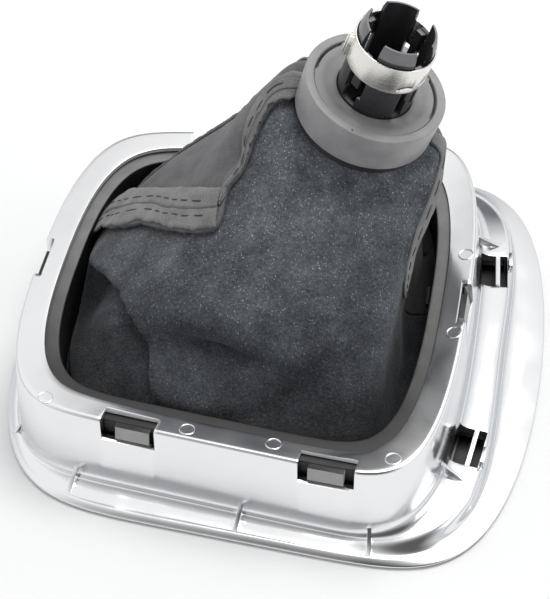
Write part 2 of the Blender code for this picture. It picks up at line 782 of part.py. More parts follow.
def make_collar(group, axis, look, plate_look, tie_look):
    """Collar ring with its skirt, the dished plate inside it, and the tie round the neck."""
    rim = COLLAR_TOP_RADIUS - COLLAR_RIM
    inner = COLLAR_FOOT_RADIUS - COLLAR_WALL
    skirt = COLLAR_SKIRT_RADIUS
    bore = COLLAR_SKIRT_RADIUS - COLLAR_SKIRT_WALL
    shelf = COLLAR_SHELF + COLLAR_SHELF_THICKNESS
    turned("collar_ring", [
        (COLLAR_TOP_RADIUS - COLLAR_EDGE_ROUND, 0.0), (COLLAR_TOP_RADIUS, -COLLAR_EDGE_ROUND),
        (COLLAR_FOOT_RADIUS, -COLLAR_HEIGHT), (inner, -COLLAR_HEIGHT),
        (inner, -shelf), (skirt, -shelf), (skirt, -COLLAR_SKIRT_DROP), (bore, -COLLAR_SKIRT_DROP),
        (bore, -COLLAR_SHELF), (rim, -COLLAR_SHELF), (rim, 0.0),
    ], group, look, axis, steps=COLLAR_STEPS)

    outer = rim - COLLAR_GROOVE
    hole = SLEEVE_RADIUS + SOFT_CLEARANCE
    under = COLLAR_SHELF - FIT
    dish = PLATE_STEP + PLATE_DISH
    turned("collar_plate", [
        (outer - PLATE_FLAT, -PLATE_STEP), (outer, -PLATE_STEP), (outer, -under), (hole, -under),
        (hole, -dish), ((hole + outer - PLATE_FLAT) / 2, -dish + PLATE_DISH_RISE),
    ], group, plate_look, axis, steps=COLLAR_STEPS)

    tie_inner = NECK_RADIUS + SUEDE + FIT
    tie_top = COLLAR_HEIGHT + FIT
    turned("gaiter_tie", [
        (tie_inner, -tie_top), (tie_inner + TIE_THICKNESS, -tie_top),
        (tie_inner + TIE_THICKNESS, -tie_top - TIE_HEIGHT), (tie_inner, -tie_top - TIE_HEIGHT),
    ], group, tie_look, axis)


def make_sleeve(group, cutters, axis, look, bush_look):
    """Sleeve split into wide fingers and short tongues, with a bush at the bottom."""
    bore = SLEEVE_BORE_RADIUS
    start = SLEEVE_HEIGHT - SLEEVE_TIP_HEIGHT
    tip_wall = (SLEEVE_TIP_RADIUS - bore) / 2
    sleeve = turned("collet_sleeve", [
        (bore, SLEEVE_HEIGHT), (SLEEVE_TIP_RADIUS, SLEEVE_HEIGHT), (SLEEVE_RADIUS, start),
        (SLEEVE_RADIUS, -SLEEVE_DEPTH), (bore, -SLEEVE_DEPTH), (bore, start + tip_wall),
    ], group, look, axis, steps=COLLAR_STEPS)
    pitch = 360.0 / FINGER_COUNT
    for number in range(FINGER_COUNT):
        middle = FINGER_TURN + pitch * number
        height = SLEEVE_HEIGHT - FINGER_SLOT_START
        for side in (-1, 1):
            turn = middle + side * pitch * FINGER_SHARE / 2 + side * degrees_of(FINGER_SLOT / 2)
            cut = box(
                f"finger_cut_{number}_{side}", (SLEEVE_RADIUS, FINGER_SLOT, height + CUT),
                round_place(turn, SLEEVE_RADIUS, FINGER_SLOT_START + (height + CUT) / 2), cutters,
            )
            add_cutter(sleeve, cut)
        turn = middle + pitch / 2
        cut = box(
            f"tongue_cut_{number}", (SLEEVE_RADIUS, TONGUE_CUT_WIDTH, CUT),
            round_place(turn, SLEEVE_RADIUS, TONGUE_HEIGHT + CUT / 2), cutters,
        )
        add_cutter(sleeve, cut)

    bush = bore - FIT
    foot = SLEEVE_DEPTH
    turned("lever_bush", [
        (BUSH_BORE_RADIUS, -foot + BUSH_HEIGHT), (bush, -foot + BUSH_HEIGHT), (bush, -foot),
        (BUSH_BORE_RADIUS, -foot),
    ], group, bush_look, axis)
    return sleeve


def degrees_of(arc):
    """Angle in degrees that an arc takes on the sleeve."""
    return arc / SLEEVE_RADIUS * 180.0 / pi


def round_place(turn, radius, height):
    """A world matrix at a place round the knob's axis, with X pointing out."""
    return KNOB_MATRIX @ Matrix.Rotation(radians(turn), 4, "Z") @ Matrix.Translation((radius, 0, height))


def make_band(group, cutters, axis, look):
    """Steel band round the fingers, with the folded ear that closes it."""
    inner = SLEEVE_RADIUS + FIT
    outer = inner + BAND_THICKNESS
    top = BAND_START + BAND_WIDTH
    band = turned("clamp_band", [
        (inner, top), (outer, top), (outer, BAND_START), (inner, BAND_START),
    ], group, look, axis, steps=COLLAR_STEPS)
    size = (BAND_EAR + BAND_THICKNESS / 2, BAND_EAR_THICKNESS, BAND_EAR_WIDTH)
    place = round_place(BAND_EAR_TURN, outer - BAND_THICKNESS / 2 + size[0] / 2, BAND_START + BAND_WIDTH / 2)
    ear = box("band_ear", size, place, cutters)
    add_cutter(band, ear, "UNION")
    return band


def make_knob(group, cutters, axis, looks):
    """Core, wrapped grip, trim ring, cap and pattern disc below the collar."""
    socket = SLEEVE_RADIUS + FIT
    cap_top = KNOB_LENGTH - CAP_HEIGHT
    trim_top = cap_top - FIT - TRIM_HEIGHT
    core_end = trim_top + TRIM_HEIGHT
    seat = SLEEVE_DEPTH + FIT
    neck = CORE_NECK_RADIUS
    belly = CORE_BELLY_RADIUS
    waist = CORE_TOP + CORE_WAIST_DROP
    shoulder = CORE_TOP + CORE_BELLY_DROP
    turned("knob_core", [
        (0.0, -seat), (socket, -seat), (socket, -CORE_TOP), (neck, -CORE_TOP),
        (CORE_WAIST_RADIUS, -waist), (belly, -shoulder), (CORE_END_RADIUS, -core_end), (0.0, -core_end),
    ], group, looks["core"], axis)

    gap = FIT
    thick = WRAP_THICKNESS
    start = CORE_TOP + gap
    end = trim_top - gap
    share = (end - shoulder) / (core_end - shoulder)
    end_radius = belly + (CORE_END_RADIUS - belly) * share
    wrap = [
        (neck + gap, -start), (neck + gap + WRAP_EDGE_THICKNESS, -start),
        (CORE_WAIST_RADIUS + gap + thick, -waist), (belly + gap + thick, -shoulder),
        (end_radius + gap + WRAP_EDGE_THICKNESS, -end), (end_radius + gap, -end),
        (belly + gap, -shoulder), (CORE_WAIST_RADIUS + gap, -waist),
    ]
    for number, side in enumerate(("left", "right")):
        half = turned(f"grip_wrap_{side}", wrap, group, looks["wrap"], axis)
        width = 3 * belly
        shift = (width - WRAP_SEAM) / 2 * (1 if number else -1)
        cut = box(
            f"wrap_cut_{side}", (3 * belly, width, 2 * KNOB_LENGTH),
            KNOB_MATRIX @ Matrix.Translation((0, shift, -KNOB_LENGTH / 2)), cutters,
        )
        add_cutter(half, cut)

    trim_inner = end_radius + gap
    trim_outer = end_radius + gap + thick + TRIM_PROUD
    turned("trim_ring", [
        (trim_inner, -trim_top), (trim_outer - TRIM_PROUD, -trim_top),
        (trim_outer, -trim_top - TRIM_HEIGHT / 2), (trim_outer - TRIM_PROUD, -trim_top - TRIM_HEIGHT),
        (trim_inner, -trim_top - TRIM_HEIGHT),
    ], group, looks["chrome"], axis)

    flat = DISC_RADIUS + FIT
    recess = KNOB_LENGTH - DISC_THICKNESS - FIT
    arc = []
    for step in range(CAP_ARC_STEPS + 1):
        turn = pi / 2 * step / CAP_ARC_STEPS
        radius = DISC_RADIUS + CAP_EDGE_RADIUS * cos(turn)
        arc.append((radius, -(KNOB_LENGTH - CAP_EDGE_RADIUS) - CAP_EDGE_RADIUS * sin(turn)))
    arc[-1] = (flat + FIT, -KNOB_LENGTH)
    turned("cap", [(0.0, -cap_top), (arc[0][0], -cap_top)] + arc + [
        (flat, -KNOB_LENGTH), (flat, -recess), (0.0, -recess),
    ], group, looks["cap"], axis)

    disc = turned("pattern_disc", [
        (0.0, -recess - FIT), (DISC_RADIUS, -recess - FIT), (DISC_RADIUS, -KNOB_LENGTH), (0.0, -KNOB_LENGTH),
    ], group, looks["disc"], axis)
    for number, step in enumerate((-1, 0, 1)):
        cut = box(
            f"gate_{number}", (GATE_LENGTH, GATE_WIDTH, 2 * GATE_DEPTH),
            KNOB_MATRIX @ Matrix.Translation((0, step * GATE_SPACING, -KNOB_LENGTH)), cutters,
        )
        add_cutter(disc, cut)
    cross = box(
        "gate_cross", (GATE_WIDTH, 2 * GATE_SPACING, 2 * GATE_DEPTH),
        KNOB_MATRIX @ Matrix.Translation((0, 0, -KNOB_LENGTH)), cutters,
    )
    add_cutter(disc, cross)


def build():
    """Build every piece."""
    clear_scene()
    group = collection(MODEL)
    cutters = collection("cutters")

    chrome = material("bezel_chrome", (0.78, 0.79, 0.80), 0.12, 1.0)
    frame_plastic = material("frame_plastic", (0.10, 0.10, 0.10), 0.55)
    suede = material("gaiter_suede", (0.045, 0.050, 0.058), 0.95)
    collar_plastic = material("collar_plastic", (0.17, 0.17, 0.175), 0.60)
    sleeve_plastic = material("sleeve_plastic", (0.020, 0.020, 0.022), 0.40)
    steel = material("band_steel", (0.72, 0.71, 0.69), 0.30, 1.0)
    tie_plastic = material("tie_plastic", (0.015, 0.015, 0.015), 0.50)
    rubber = material("bush_rubber", (0.020, 0.020, 0.020), 0.80)
    looks = {
        "core": material("core_plastic", (0.020, 0.020, 0.020), 0.55),
        "wrap": material("grip_leather", (0.025, 0.025, 0.025), 0.60),
        "chrome": material("trim_chrome", (0.78, 0.79, 0.80), 0.12, 1.0),
        "cap": material("cap_gloss", (0.010, 0.010, 0.010), 0.15),
        "disc": material("disc_satin", (0.60, 0.60, 0.60), 0.35),
    }

    axis = bpy.data.objects.new("knob_axis", None)
    group.objects.link(axis)
    axis.matrix_world = KNOB_MATRIX

    make_bezel(group, cutters, chrome)
    make_frame(group, cutters, frame_plastic)
    for panel in PANEL_COLUMNS:
        make_panel(panel, group, suede)
    make_staples(group, steel)
    make_collar(group, axis, collar_plastic, collar_plastic, tie_plastic)
    make_sleeve(group, cutters, axis, sleeve_plastic, rubber)
    make_band(group, cutters, axis, steel)
    make_knob(group, cutters, axis, looks)


if __name__ == "__main__":
    build()
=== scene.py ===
"""Looks of the gear knob with its gaiter and bezel, seen from the fitting side.

The bezel lies face down, the gaiter is turned inside out and shows its suede back and its
raw seams, and the slotted sleeve with its clamp band stands up out of the collar.  All
sizes are in metres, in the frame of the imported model.
"""

from math import atan2, cos, exp, hypot, pi, radians, sin, sqrt

import bmesh
import bpy
from bpy.props import FloatProperty, FloatVectorProperty, IntProperty, PointerProperty
from mathutils import Matrix, Vector, noise


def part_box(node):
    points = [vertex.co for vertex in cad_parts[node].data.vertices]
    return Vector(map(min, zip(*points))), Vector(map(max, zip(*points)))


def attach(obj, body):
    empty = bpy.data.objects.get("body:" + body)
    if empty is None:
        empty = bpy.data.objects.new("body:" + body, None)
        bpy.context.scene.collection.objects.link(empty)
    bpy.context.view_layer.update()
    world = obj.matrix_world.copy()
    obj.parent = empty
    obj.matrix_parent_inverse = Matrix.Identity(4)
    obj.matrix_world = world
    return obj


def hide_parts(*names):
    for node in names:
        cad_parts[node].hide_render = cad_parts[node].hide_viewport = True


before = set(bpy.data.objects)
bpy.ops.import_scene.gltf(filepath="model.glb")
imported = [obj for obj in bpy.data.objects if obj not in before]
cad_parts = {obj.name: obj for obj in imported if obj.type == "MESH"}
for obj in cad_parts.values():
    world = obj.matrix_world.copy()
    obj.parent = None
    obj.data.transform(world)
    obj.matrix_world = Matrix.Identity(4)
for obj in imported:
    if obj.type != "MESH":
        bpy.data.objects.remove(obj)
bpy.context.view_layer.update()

bl_info = {
    "name": "Gear Knob and Gaiter",
    "version": (1, 0, 0),
    "blender": (4, 5, 0),
    "location": "View3D > Sidebar > Gear Knob",
    "description": "Builds the visible surfaces of a gear knob with its gaiter and bezel",
    "category": "Add Mesh",
}

BODY = "root"

# Camera, matched to the photograph's view of the bezel
CAMERA_PLACE = (0.0821, -0.3921, 0.4372)
CAMERA_AZIMUTH = 12.01
CAMERA_ELEVATION = 46.14
CAMERA_ROLL = -2.28
CAMERA_LENS = 105.86
SENSOR_WIDTH = 36.0

# Outlines of the bezel, as the frame has them
RING_HALF_LENGTH = 0.0710
RING_HALF_WIDTH = 0.0710
RING_TAPER = 0.105
RING_WIDTH = 0.0086
# The ring's top slopes down to its inner edge, less at the far left: how far, and the X where it eases in
RING_DIP = 0.0017
RING_DIP_LEAST = 0.35
RING_DIP_EASE = (-0.056, -0.022)
# Places on that slope: share of the ring's width, share of the dip
RING_SLOPE = ((1.0, 1.0), (0.66, 0.64), (0.33, 0.30))
# How much closer together the outline's points lie at its corners
OUTLINE_CROWDING = 0.14
SIDE_POWER = 8.4
END_POWER = 2.5
FLANGE_REACH_NEAR = 0.0077
FLANGE_REACH_FAR = 0.0255
FLANGE_REACH_SIDE = 0.0132
FLANGE_TAPER = 0.074
FLANGE_SIDE_POWER = 6.0
FLANGE_END_POWER = 2.07
RING_CENTRE_X = (FLANGE_REACH_NEAR - FLANGE_REACH_FAR) / 2
FLANGE_HALF_LENGTH = RING_HALF_LENGTH + (FLANGE_REACH_NEAR + FLANGE_REACH_FAR) / 2
FLANGE_HALF_WIDTH = RING_HALF_WIDTH + FLANGE_REACH_SIDE
BEZEL_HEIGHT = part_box("bezel")[1].z
WALL_DRAFT = 0.0022
WALL_THICKNESS = 0.0022
FLANGE_EDGE_THICKNESS = 0.0013
LIP_WIDTH = 0.0020
LIP_EXTRA_AT_END = 0.0040
LEDGE_HEIGHT = 0.0080
LEDGE_LOW_HEIGHT = 0.0034
LEDGE_SHARE = 0.40
LEDGE_CORNER_SHARE = 0.60
LEDGE_CORNER_ANGLE = 38.0
LEDGE_LOW_SHARE = 0.30
LEDGE_FULL_ANGLE = 30.0
LEDGE_END_ANGLE = 62.0
# Where the ledge's foot meets the flange, as a share of the way out, and how much further where it is narrow
LEDGE_FOOT, LEDGE_FOOT_EXTRA = 0.07, 0.5
# Roundings of the bezel's section, on both sides of the ring's outer edge
SLOPE_RADII = (0.0004, 0.0013, 0.0013)
WALL_RADII = (0.0042, 0.0020, 0.0030, 0.0020, 0.0007, 0.0004, 0.0, 0.0, 0.0, 0.0, 0.0003)

# Windows, slots, hooks and ribs of the bezel
CUT_DEPTH = 0.02
WINDOW_WIDTH = 0.0172
WINDOW_HEIGHT = 0.0082
WINDOW_NOTCH = 0.0060
END_WINDOW_NOTCH = 0.0030
NOTCH_SLANT = 0.27
FRONT_WINDOWS_X = (-0.0340, 0.0277)
END_WINDOW_Y = -0.0013
TAB_WIDTH = 0.0110
TAB_SHIFT = 0.0008
TAB_HEIGHT = 0.0044
TAB_SLOPE = 0.0009
TAB_SILL = 0.0010
SLOT_LENGTH = 0.0148
SLOT_WIDTH = 0.0050
SLOT_BAR = 0.0014
OUTER_SLOT_WIDTH = 0.0026
SLOT_WALL_GAP = 0.0004
SLOT_MIDDLE_Y = -0.0028
SLOT_SPREAD = 0.0372
HOOK_SIZE = (0.0060, 0.0012, 0.0038)
HOOK_OFFSET = 0.0037
HOOK_SETBACK = 0.0003
HOOK_SINK = 0.0012
# Dark plates under the ledge slots, which paint the shade seen through them: height, margin and thickness
SLOT_SHADE_PLATE_Z = 0.0009
SLOT_SHADE_PLATE_MARGIN = 0.004
SLOT_SHADE_PLATE_THICKNESS = 0.0008
RIB_THICKNESS = 0.0012
RIB_REACH = 0.0090
RIB_HEIGHT = 0.0062
CORNER_RIB_REACH = 0.0034
LONG_RIB_X = (-0.0510, 0.0011, 0.0398)
CORNER_RIB_ANGLE = 222.0
END_RIB_GAP = 0.0044
PIN_MARKS = (
    (-0.0158, -0.0660), (0.0108, -0.0672), (0.0467, -0.0676),
    (0.0588, 0.0207), (0.0588, -0.0144), (-0.0614, -0.0612),
)
PIN_MARK_RADIUS = 0.0023
PIN_MARK_WIRE = 0.00022
PIN_MARK_STEPS = (40, 8)

# How far a face turns to count as inward, under, a notch's edge or the rim's top, as cosines
INWARD_TURN, UNDER_TURN, EDGE_TURN, RIM_TURN = 0.7, 0.5, 0.35, 0.4
# How near to a notch its edge's faces lie, along the wall and out of it
NOTCH_NEAR_ALONG, NOTCH_NEAR_OUT = 0.0006, 0.0022

# Retainer frame
FRAME_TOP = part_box("retainer_frame")[1].z
FRAME_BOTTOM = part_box("retainer_frame")[0].z
FRAME_OUTER_INSET = 0.0027
FRAME_RIM = 0.0040
FRAME_WALL = 0.0018
FRAME_LIP = 0.0048
FRAME_LIP_TOP = 0.0100
FRAME_EDGE = 0.00025
# Painted shade on the rim, darker towards the front: two places along Y, and how dark it is at the first
RIM_FADE = (-0.048, 0.012, 0.10)

# Gaiter
HEM_Z = FRAME_LIP_TOP + 0.0003
HEM_WIDTH = 0.0042
SOFT_CLEARANCE = 0.0005
SEAM_SUEDE = 0.0026
HEM_ROOM = 0.0036
RIM_ROOM = 0.0048
NECK_FLARE_DROP = 0.0078
NECK_FLARE_RADIUS = 0.0224
NECK_FOOT_RADIUS = 0.0208
NECK_FOOT_DROP = 0.0058
NECK_INNER_RADIUS = 0.0179
NECK_INNER_DROP = 0.0042
NECK_TUCK = 0.0008
REAR_LEFT_SEAM = 140.0
REAR_RIGHT_SEAM = 420.0
BILLOW = (
    (0.0, -0.0060), (55.0, 0.0010), (95.0, 0.0060), (130.0, 0.0080), (165.0, 0.0120),
    (200.0, 0.0150), (235.0, 0.0150), (270.0, 0.0140), (305.0, 0.0050), (335.0, -0.0040),
)
NECK_PUFFS = ((158.0, 40.0, 0.0050, 0.0085), (8.0, 36.0, 0.0042, 0.0050))
# Folds: angle, height share, angle reach, height reach, depth
FOLDS = (
    (198.0, 0.15, 13.0, 0.09, -0.0060),
    (222.0, 0.17, 12.0, 0.09, -0.0065),
    (240.0, 0.11, 9.0, 0.07, -0.0045),
    (212.0, 0.36, 16.0, 0.09, 0.0020),
    (268.0, 0.44, 20.0, 0.10, 0.0025),
    (286.0, 0.22, 16.0, 0.09, -0.0035),
    (318.0, 0.24, 11.0, 0.16, -0.0030),
    (165.0, 0.62, 30.0, 0.18, -0.0060),
    (243.0, 0.56, 22.0, 0.085, 0.0048),
    (270.0, 0.64, 20.0, 0.075, 0.0040),
    (250.0, 0.37, 27.0, 0.080, -0.0105),
    (252.0, 0.265, 15.0, 0.055, 0.0034),
    (285.0, 0.270, 10.0, 0.110, -0.0040),
    (302.0, 0.360, 8.0, 0.180, 0.0034),
    (232.0, 0.560, 10.0, 0.080, 0.0020),
    (250.0, 0.740, 14.0, 0.070, 0.0020),
    (350.0, 0.780, 26.0, 0.140, 0.0034),
)
# Courses of the two front seams: height share, angle
LEFT_SEAM = (
    (0.0, 158.0), (0.16, 162.0), (0.336, 181.0), (0.43, 189.0), (0.51, 196.0), (0.58, 206.0),
    (0.64, 214.5), (0.69, 222.0), (0.72, 224.5), (0.75, 220.5), (0.79, 212.5), (0.835, 210.5),
    (0.865, 206.0), (0.90, 198.0), (0.95, 188.5), (1.0, 183.0),
)
RIGHT_SEAM = (
    (0.0, 368.0), (0.30, 350.0), (0.61, 329.0), (0.70, 327.0), (0.84, 340.0), (0.92, 354.0), (1.0, 364.0),
)
# Seam strips: sewn edge and raw edge, each as share along the strip, angle and height share
LEFT_LOWER_STRIP = (
    ((0.0, 151.0, 0.07), (0.23, 157.0, 0.27), (0.42, 170.0, 0.417), (0.615, 181.0, 0.529), (0.845, 197.0, 0.672),
     (1.0, 211.0, 0.775)),
    ((0.0, 161.0, 0.06), (0.23, 174.0, 0.25), (0.385, 182.5, 0.336), (0.54, 196.5, 0.509), (0.69, 206.5, 0.58),
     (0.845, 215.5, 0.641), (1.0, 226.0, 0.718)),
)
LEFT_UPPER_STRIP = (
    ((0.0, 215.5, 0.762), (0.15, 210.8, 0.79), (0.30, 208.6, 0.83), (0.42, 203.0, 0.860), (0.55, 190.0, 0.878),
     (0.68, 179.0, 0.905), (0.80, 174.0, 0.95), (0.90, 168.0, 0.99), (1.0, 158.0, 1.03)),
    ((0.0, 219.0, 0.752), (0.15, 213.5, 0.79), (0.30, 212.0, 0.835), (0.42, 208.0, 0.862), (0.55, 202.0, 0.886),
     (0.68, 196.0, 0.916), (0.80, 190.0, 0.947), (0.90, 186.0, 0.977), (1.0, 182.0, 1.03)),
)
RIGHT_STRIP = (
    ((0.0, 338.0, 0.40), (0.25, 331.5, 0.51), (0.45, 328.5, 0.64), (0.65, 332.5, 0.78), (0.85, 348.5, 0.92),
     (1.0, 361.0, 1.03)),
    ((0.0, 339.6, 0.40), (0.25, 340.0, 0.51), (0.45, 339.0, 0.64), (0.65, 346.0, 0.78), (0.85, 361.0, 0.92),
     (1.0, 373.0, 1.03)),
)
# Layers of the left seam: name, edges, places across it, lift (none where it rises by itself), fraying
LEFT_LAYERS = (
    ("left_lower_strip", LEFT_LOWER_STRIP, (0.48, 1.0), -0.0002, (0.0002, 0.0009)),
    ("left_lower_fold", LEFT_LOWER_STRIP, (0.0, 0.53), None, (0.0002, 0.0002)),
    ("left_upper_strip", LEFT_UPPER_STRIP, (0.66, 1.0), -0.0001, (0.0002, 0.0012)),
    ("left_upper_middle", LEFT_UPPER_STRIP, (0.32, 0.71), 0.0002, (0.0002, 0.0003)),
    ("left_upper_fold", LEFT_UPPER_STRIP, (0.0, 0.37), None, (0.0008, 0.0003)),
)
# Stitch rows of the left seam: edges, place across, lift, first and last place along
LEFT_STITCHES = (
    (LEFT_LOWER_STRIP, 0.34, 0.0008, 0.04, 0.97),
    (LEFT_LOWER_STRIP, 0.70, 0.0006, 0.06, 0.97),
    (LEFT_UPPER_STRIP, 0.50, 0.0010, 0.25, 0.98),
)
# The rear seams' strips: the panel that each goes with, its name, angle and lowest share
REAR_STRIPS = (("rear", "rear_left", REAR_LEFT_SEAM, 0.16), ("right", "rear_right", REAR_RIGHT_SEAM, 0.62))
REAR_STRIP_REACH = 2.8
STRIP_TOP_SHARE = 1.02
STRIP_STEP = 0.0008
STRIP_THICKNESS = 0.0008
STRIP_WAVE = 0.00014
STRIP_LENGTH_STEPS = 40
STITCH_STEPS = 6
STITCH_RADIUS = 0.00024
THREAD_SIDES = 6
STITCH_SINK = 0.00030
STITCH_LIFT = 0.0008
FOLD_SINK = 0.0009
# How far the left and the front panel's last edges stand off
LAP_LIFT = 0.0019
FRONT_LAP_LIFT = 0.0006
# How far the left panel laps over the front one, and how far that runs on under it, in degrees
LEFT_LAP = 1.6
FRONT_UNDERLAP = 0.4
# Half of the gap between two panels at the other seams, in degrees
SEAM_GAP = 0.3
# The crease where the front panel laps over the left bulge: angle, height share
CREASE = (
    (180.0, 0.17), (187.0, 0.23), (195.0, 0.30), (204.0, 0.367), (214.0, 0.405), (224.0, 0.387),
    (233.0, 0.336), (243.0, 0.255), (249.0, 0.20),
)
CREASE_MM_PER_DEGREE = 0.9
CREASE_MM_PER_SHARE = 85.0
CREASE_SOFTNESS = 0.0019
CREASE_LIFT = 0.0030
CREASE_LIFT_REACH = 0.0110
CREASE_DIP = 0.0085
CREASE_DIP_REACH = 0.0130
# Parts of the crease over which it comes and goes
CREASE_STARTS, CREASE_ENDS = (0.0, 0.22), (0.80, 1.0)

# Lumps of the sewn material: size and height
LUMPS = ((0.0150, 0.0007), (0.0050, 0.00018))
# Height shares over which the lumps come and go, and between which the neck is smoothed
LUMPS_START, LUMPS_END = (0.04, 0.16), (0.86, 0.98)
NECK_SMOOTHED = (0.90, 1.09)
# The grid that the gaiter's surface is worked out on
ANGLE_STEPS = 360
SHARE_STEPS = 110
LAST_SHARE = 1.12
NECK_SMOOTHINGS = 6
PANEL_ROWS = 104
RIBBON_COLUMNS = 6
# A place near the middle of the gaiter, which its sheets are thickened away from
GAITER_MIDDLE = (RING_CENTRE_X + 0.012, 0.008)

# Knob: the way its axis leans, and the middle of the collar's rim
KNOB_LEAN = Vector((0.315, -0.065, 1.0)).normalized()
KNOB_TOP = Vector((0.0270, 0.0297, 0.08924))
COLLAR_TOP_RADIUS = 0.0229
COLLAR_FOOT_RADIUS = 0.0225
COLLAR_HEIGHT = 0.0134
COLLAR_RIM = 0.0031
COLLAR_WALL = 0.0019
COLLAR_SHELF = 0.0042
COLLAR_SKIRT_RADIUS = 0.0174
COLLAR_SKIRT_DROP = 0.0184
COLLAR_SKIRT_WALL = 0.0016
COLLAR_SHELF_THICKNESS = 0.0018
SLEEVE_RADIUS = 0.0121
SLEEVE_BORE = 0.0104
SLEEVE_TIP_RADIUS = 0.0111
SLEEVE_HEIGHT = 0.0259
SLEEVE_DEPTH = 0.0220
SLEEVE_TIP_LENGTH = 0.0030
SLEEVE_FIT = 0.0002
SLEEVE_EDGE = 0.0003
BAND_START = 0.0107
BAND_WIDTH = 0.0098
BAND_EDGE = 0.00015
# Clearance arcs of the plate: start and end angle
PLATE_ARCS = ((133.0, 182.0), (342.0, 395.0))
# The plate's gap to the rim, how much wider it is along the arcs, and over how many degrees it widens
PLATE_GAP, PLATE_ARC_GAP, PLATE_ARC_EASE = 0.0001, 0.0008, 3.0
GATE_MARK_TURN = 259.0
GATE_MARK_RADIUS = 0.00045
# Cuts of the sleeve: turn, width, lowest and highest point
SLEEVE_CUTS = tuple(
    (96.0 + 90.0 * number + side * (27.9 + 5.0), 0.0021, 0.0030, 0.0400)
    for number in range(4) for side in (-1, 1)
) + tuple((141.0 + 90.0 * number, 0.0067, 0.0190, 0.0400) for number in range(4)) + (
    (230.0, 0.0052, -0.0008, 0.0060), (311.0, 0.0030, -0.0008, 0.0060),
)
# Above this height the sleeve's outer faces and tops take a lighter grey: painted light
SLEEVE_LIGHT_HEIGHT = 0.0160
BAND_EAR_TURN = 192.0
# The ear's two leaves: shift to the side, reach
BAND_EAR_LEAVES = ((-0.00055, 0.0017), (0.00055, 0.0014))
BAND_EAR_SIZE = (0.0008, 0.0078)
BAND_EAR_SINK = 0.0003
# How many steps and how much bow a crescent slit in the band has
BAND_SLIT_STEPS = 6
BAND_SLIT_BOW = 0.0007
# The crescent slits: turn, width, height, how tall
BAND_SLITS = ((303.0, 0.0046, 0.0128, 0.0006), (338.0, 0.0036, 0.0128, 0.0006))
FLOOR_REACH = 6.0
# Soft lights: name, place, size, power in watts
SOFTBOXES = (
    ("top_softbox", (0.30, 0.50, 1.5), (0.9, 0.9), 11.0),
    ("right_softbox", (1.3, -0.1, 1.0), (1.0, 1.0), 2.5),
    ("front_softbox", (-0.7, -1.3, 1.2), (1.0, 0.8), 0.6),
)
# The surround's colour by height
SURROUND = ((0.0, (0.58, 0.60, 0.63, 1.0)), (0.35, (0.80, 0.81, 0.83, 1.0)), (0.66, (1.0, 1.0, 1.0, 1.0)))
# Unlit parts of the room, which the chrome mirrors: the way there, the cosines where it starts and is full, its colour
UNLIT_PARTS = (
    ((0.144, -0.679, 0.719), 0.60, 0.94, (0.10, 0.105, 0.11, 1.0)),
    ((-0.155, 0.880, 0.450), 0.950, 0.985, (0.13, 0.137, 0.147, 1.0)),
)
KNOB_MATRIX = (
    Matrix.Translation(KNOB_TOP)
    @ Vector((0, 0, 1)).rotation_difference(KNOB_LEAN).to_matrix().to_4x4()
)


def linear(colour):
    """Linear RGBA from an sRGB hex colour."""
    parts = [int(colour[start:start + 2], 16) / 255 for start in (1, 3, 5)]
    return [part / 12.92 if part <= 0.04045 else ((part + 0.055) / 1.055) ** 2.4 for part in parts] + [1.0]


def per_mm(size):
    """Texture scale that makes one feature the given number of millimetres."""
    return 1000.0 / size


def colour_property(name, text, value):
    """A colour that a user may change."""
    return FloatVectorProperty(
        name=name, description=text, subtype="COLOR", size=4, min=0.0, max=1.0, default=linear(value),
    )


def length_property(name, text, value):
    """A length that a user may change."""
    return FloatProperty(name=name, description=text, default=value, min=0.0, unit="LENGTH", precision=5)


class BezelSettings(bpy.types.PropertyGroup):
    """Sizes and colours of the bezel and its retainer frame."""

    ring_width: length_property("Ring Width", "Width of the turned-in ring", RING_WIDTH)
    ring_thickness: length_property("Ring Thickness", "Thickness of the ring", 0.0022)
    edge_radius: length_property("Edge Radius", "Rounding of the ring's outer edge", 0.0014)
    flange_thickness: length_property("Flange Thickness", "Thickness of the flange", 0.0024)
    cut_edge: length_property("Cut Edge", "Small chamfer round the windows", 0.0003)
    outline_points: IntProperty(name="Outline Points", description="Points round the bezel", default=320, min=64)
    chrome: colour_property("Chrome", "Colour of the plated surface", "#ECEDEE")
    rim: colour_property("Rim", "Colour of the retainer's rim", "#7E7D7C")


class GaiterSettings(bpy.types.PropertyGroup):
    """Sizes and colours of the gaiter."""

    thickness: length_property("Thickness", "Thickness of the sewn material", 0.0013)
    stitch_length: length_property("Stitch Length", "Length of one stitch", 0.0042)
    stitch_gap: length_property("Stitch Gap", "Gap between two stitches", 0.0013)
    suede: colour_property("Suede", "Colour of the napped front panel", "#45484C")
    knit: colour_property("Knit", "Colour of the knitted backing", "#666668")
    strip: colour_property("Seam Strip", "Colour of the doubled seam allowance", "#7C7C7B")
    thread: colour_property("Thread", "Colour of the sewing thread", "#48484A")


class KnobSettings(bpy.types.PropertyGroup):
    """Sizes and colours of the collar, the sleeve and the knob."""

    round_steps: IntProperty(name="Round Steps", description="Steps round turned pieces", default=144, min=24)
    band_thickness: length_property("Band Thickness", "Thickness of the steel band", 0.0006)
    collar: colour_property("Collar", "Colour of the collar", "#979697")
    sleeve: colour_property("Sleeve", "Colour of the sleeve", "#343437")
    steel: colour_property("Steel", "Colour of the clamp band", "#E9E6E0")


def last_where(test, low, high, steps=36):
    """Where a test turns from true to false between low and high, found by halving."""
    for _ in range(steps):
        middle = (low + high) / 2
        if test(middle):
            low = middle
        else:
            high = middle
    return low


def superellipse(half_length, half_width, taper, side_power, end_power, centre_x, angle):
    """The point of a tapered superellipse that lies at an angle, in degrees."""
    across = abs(cos(radians(angle))) / half_length
    along = abs(sin(radians(angle))) / half_width
    reach = last_where(
        lambda far: (far * across) ** side_power + (far * along) ** end_power < 1.0,
        0.0, half_length + half_width,
    )
    x = reach * cos(radians(angle))
    y = reach * sin(radians(angle)) * (1 + taper * x / half_length)
    return Vector((centre_x + x, y, 0.0))


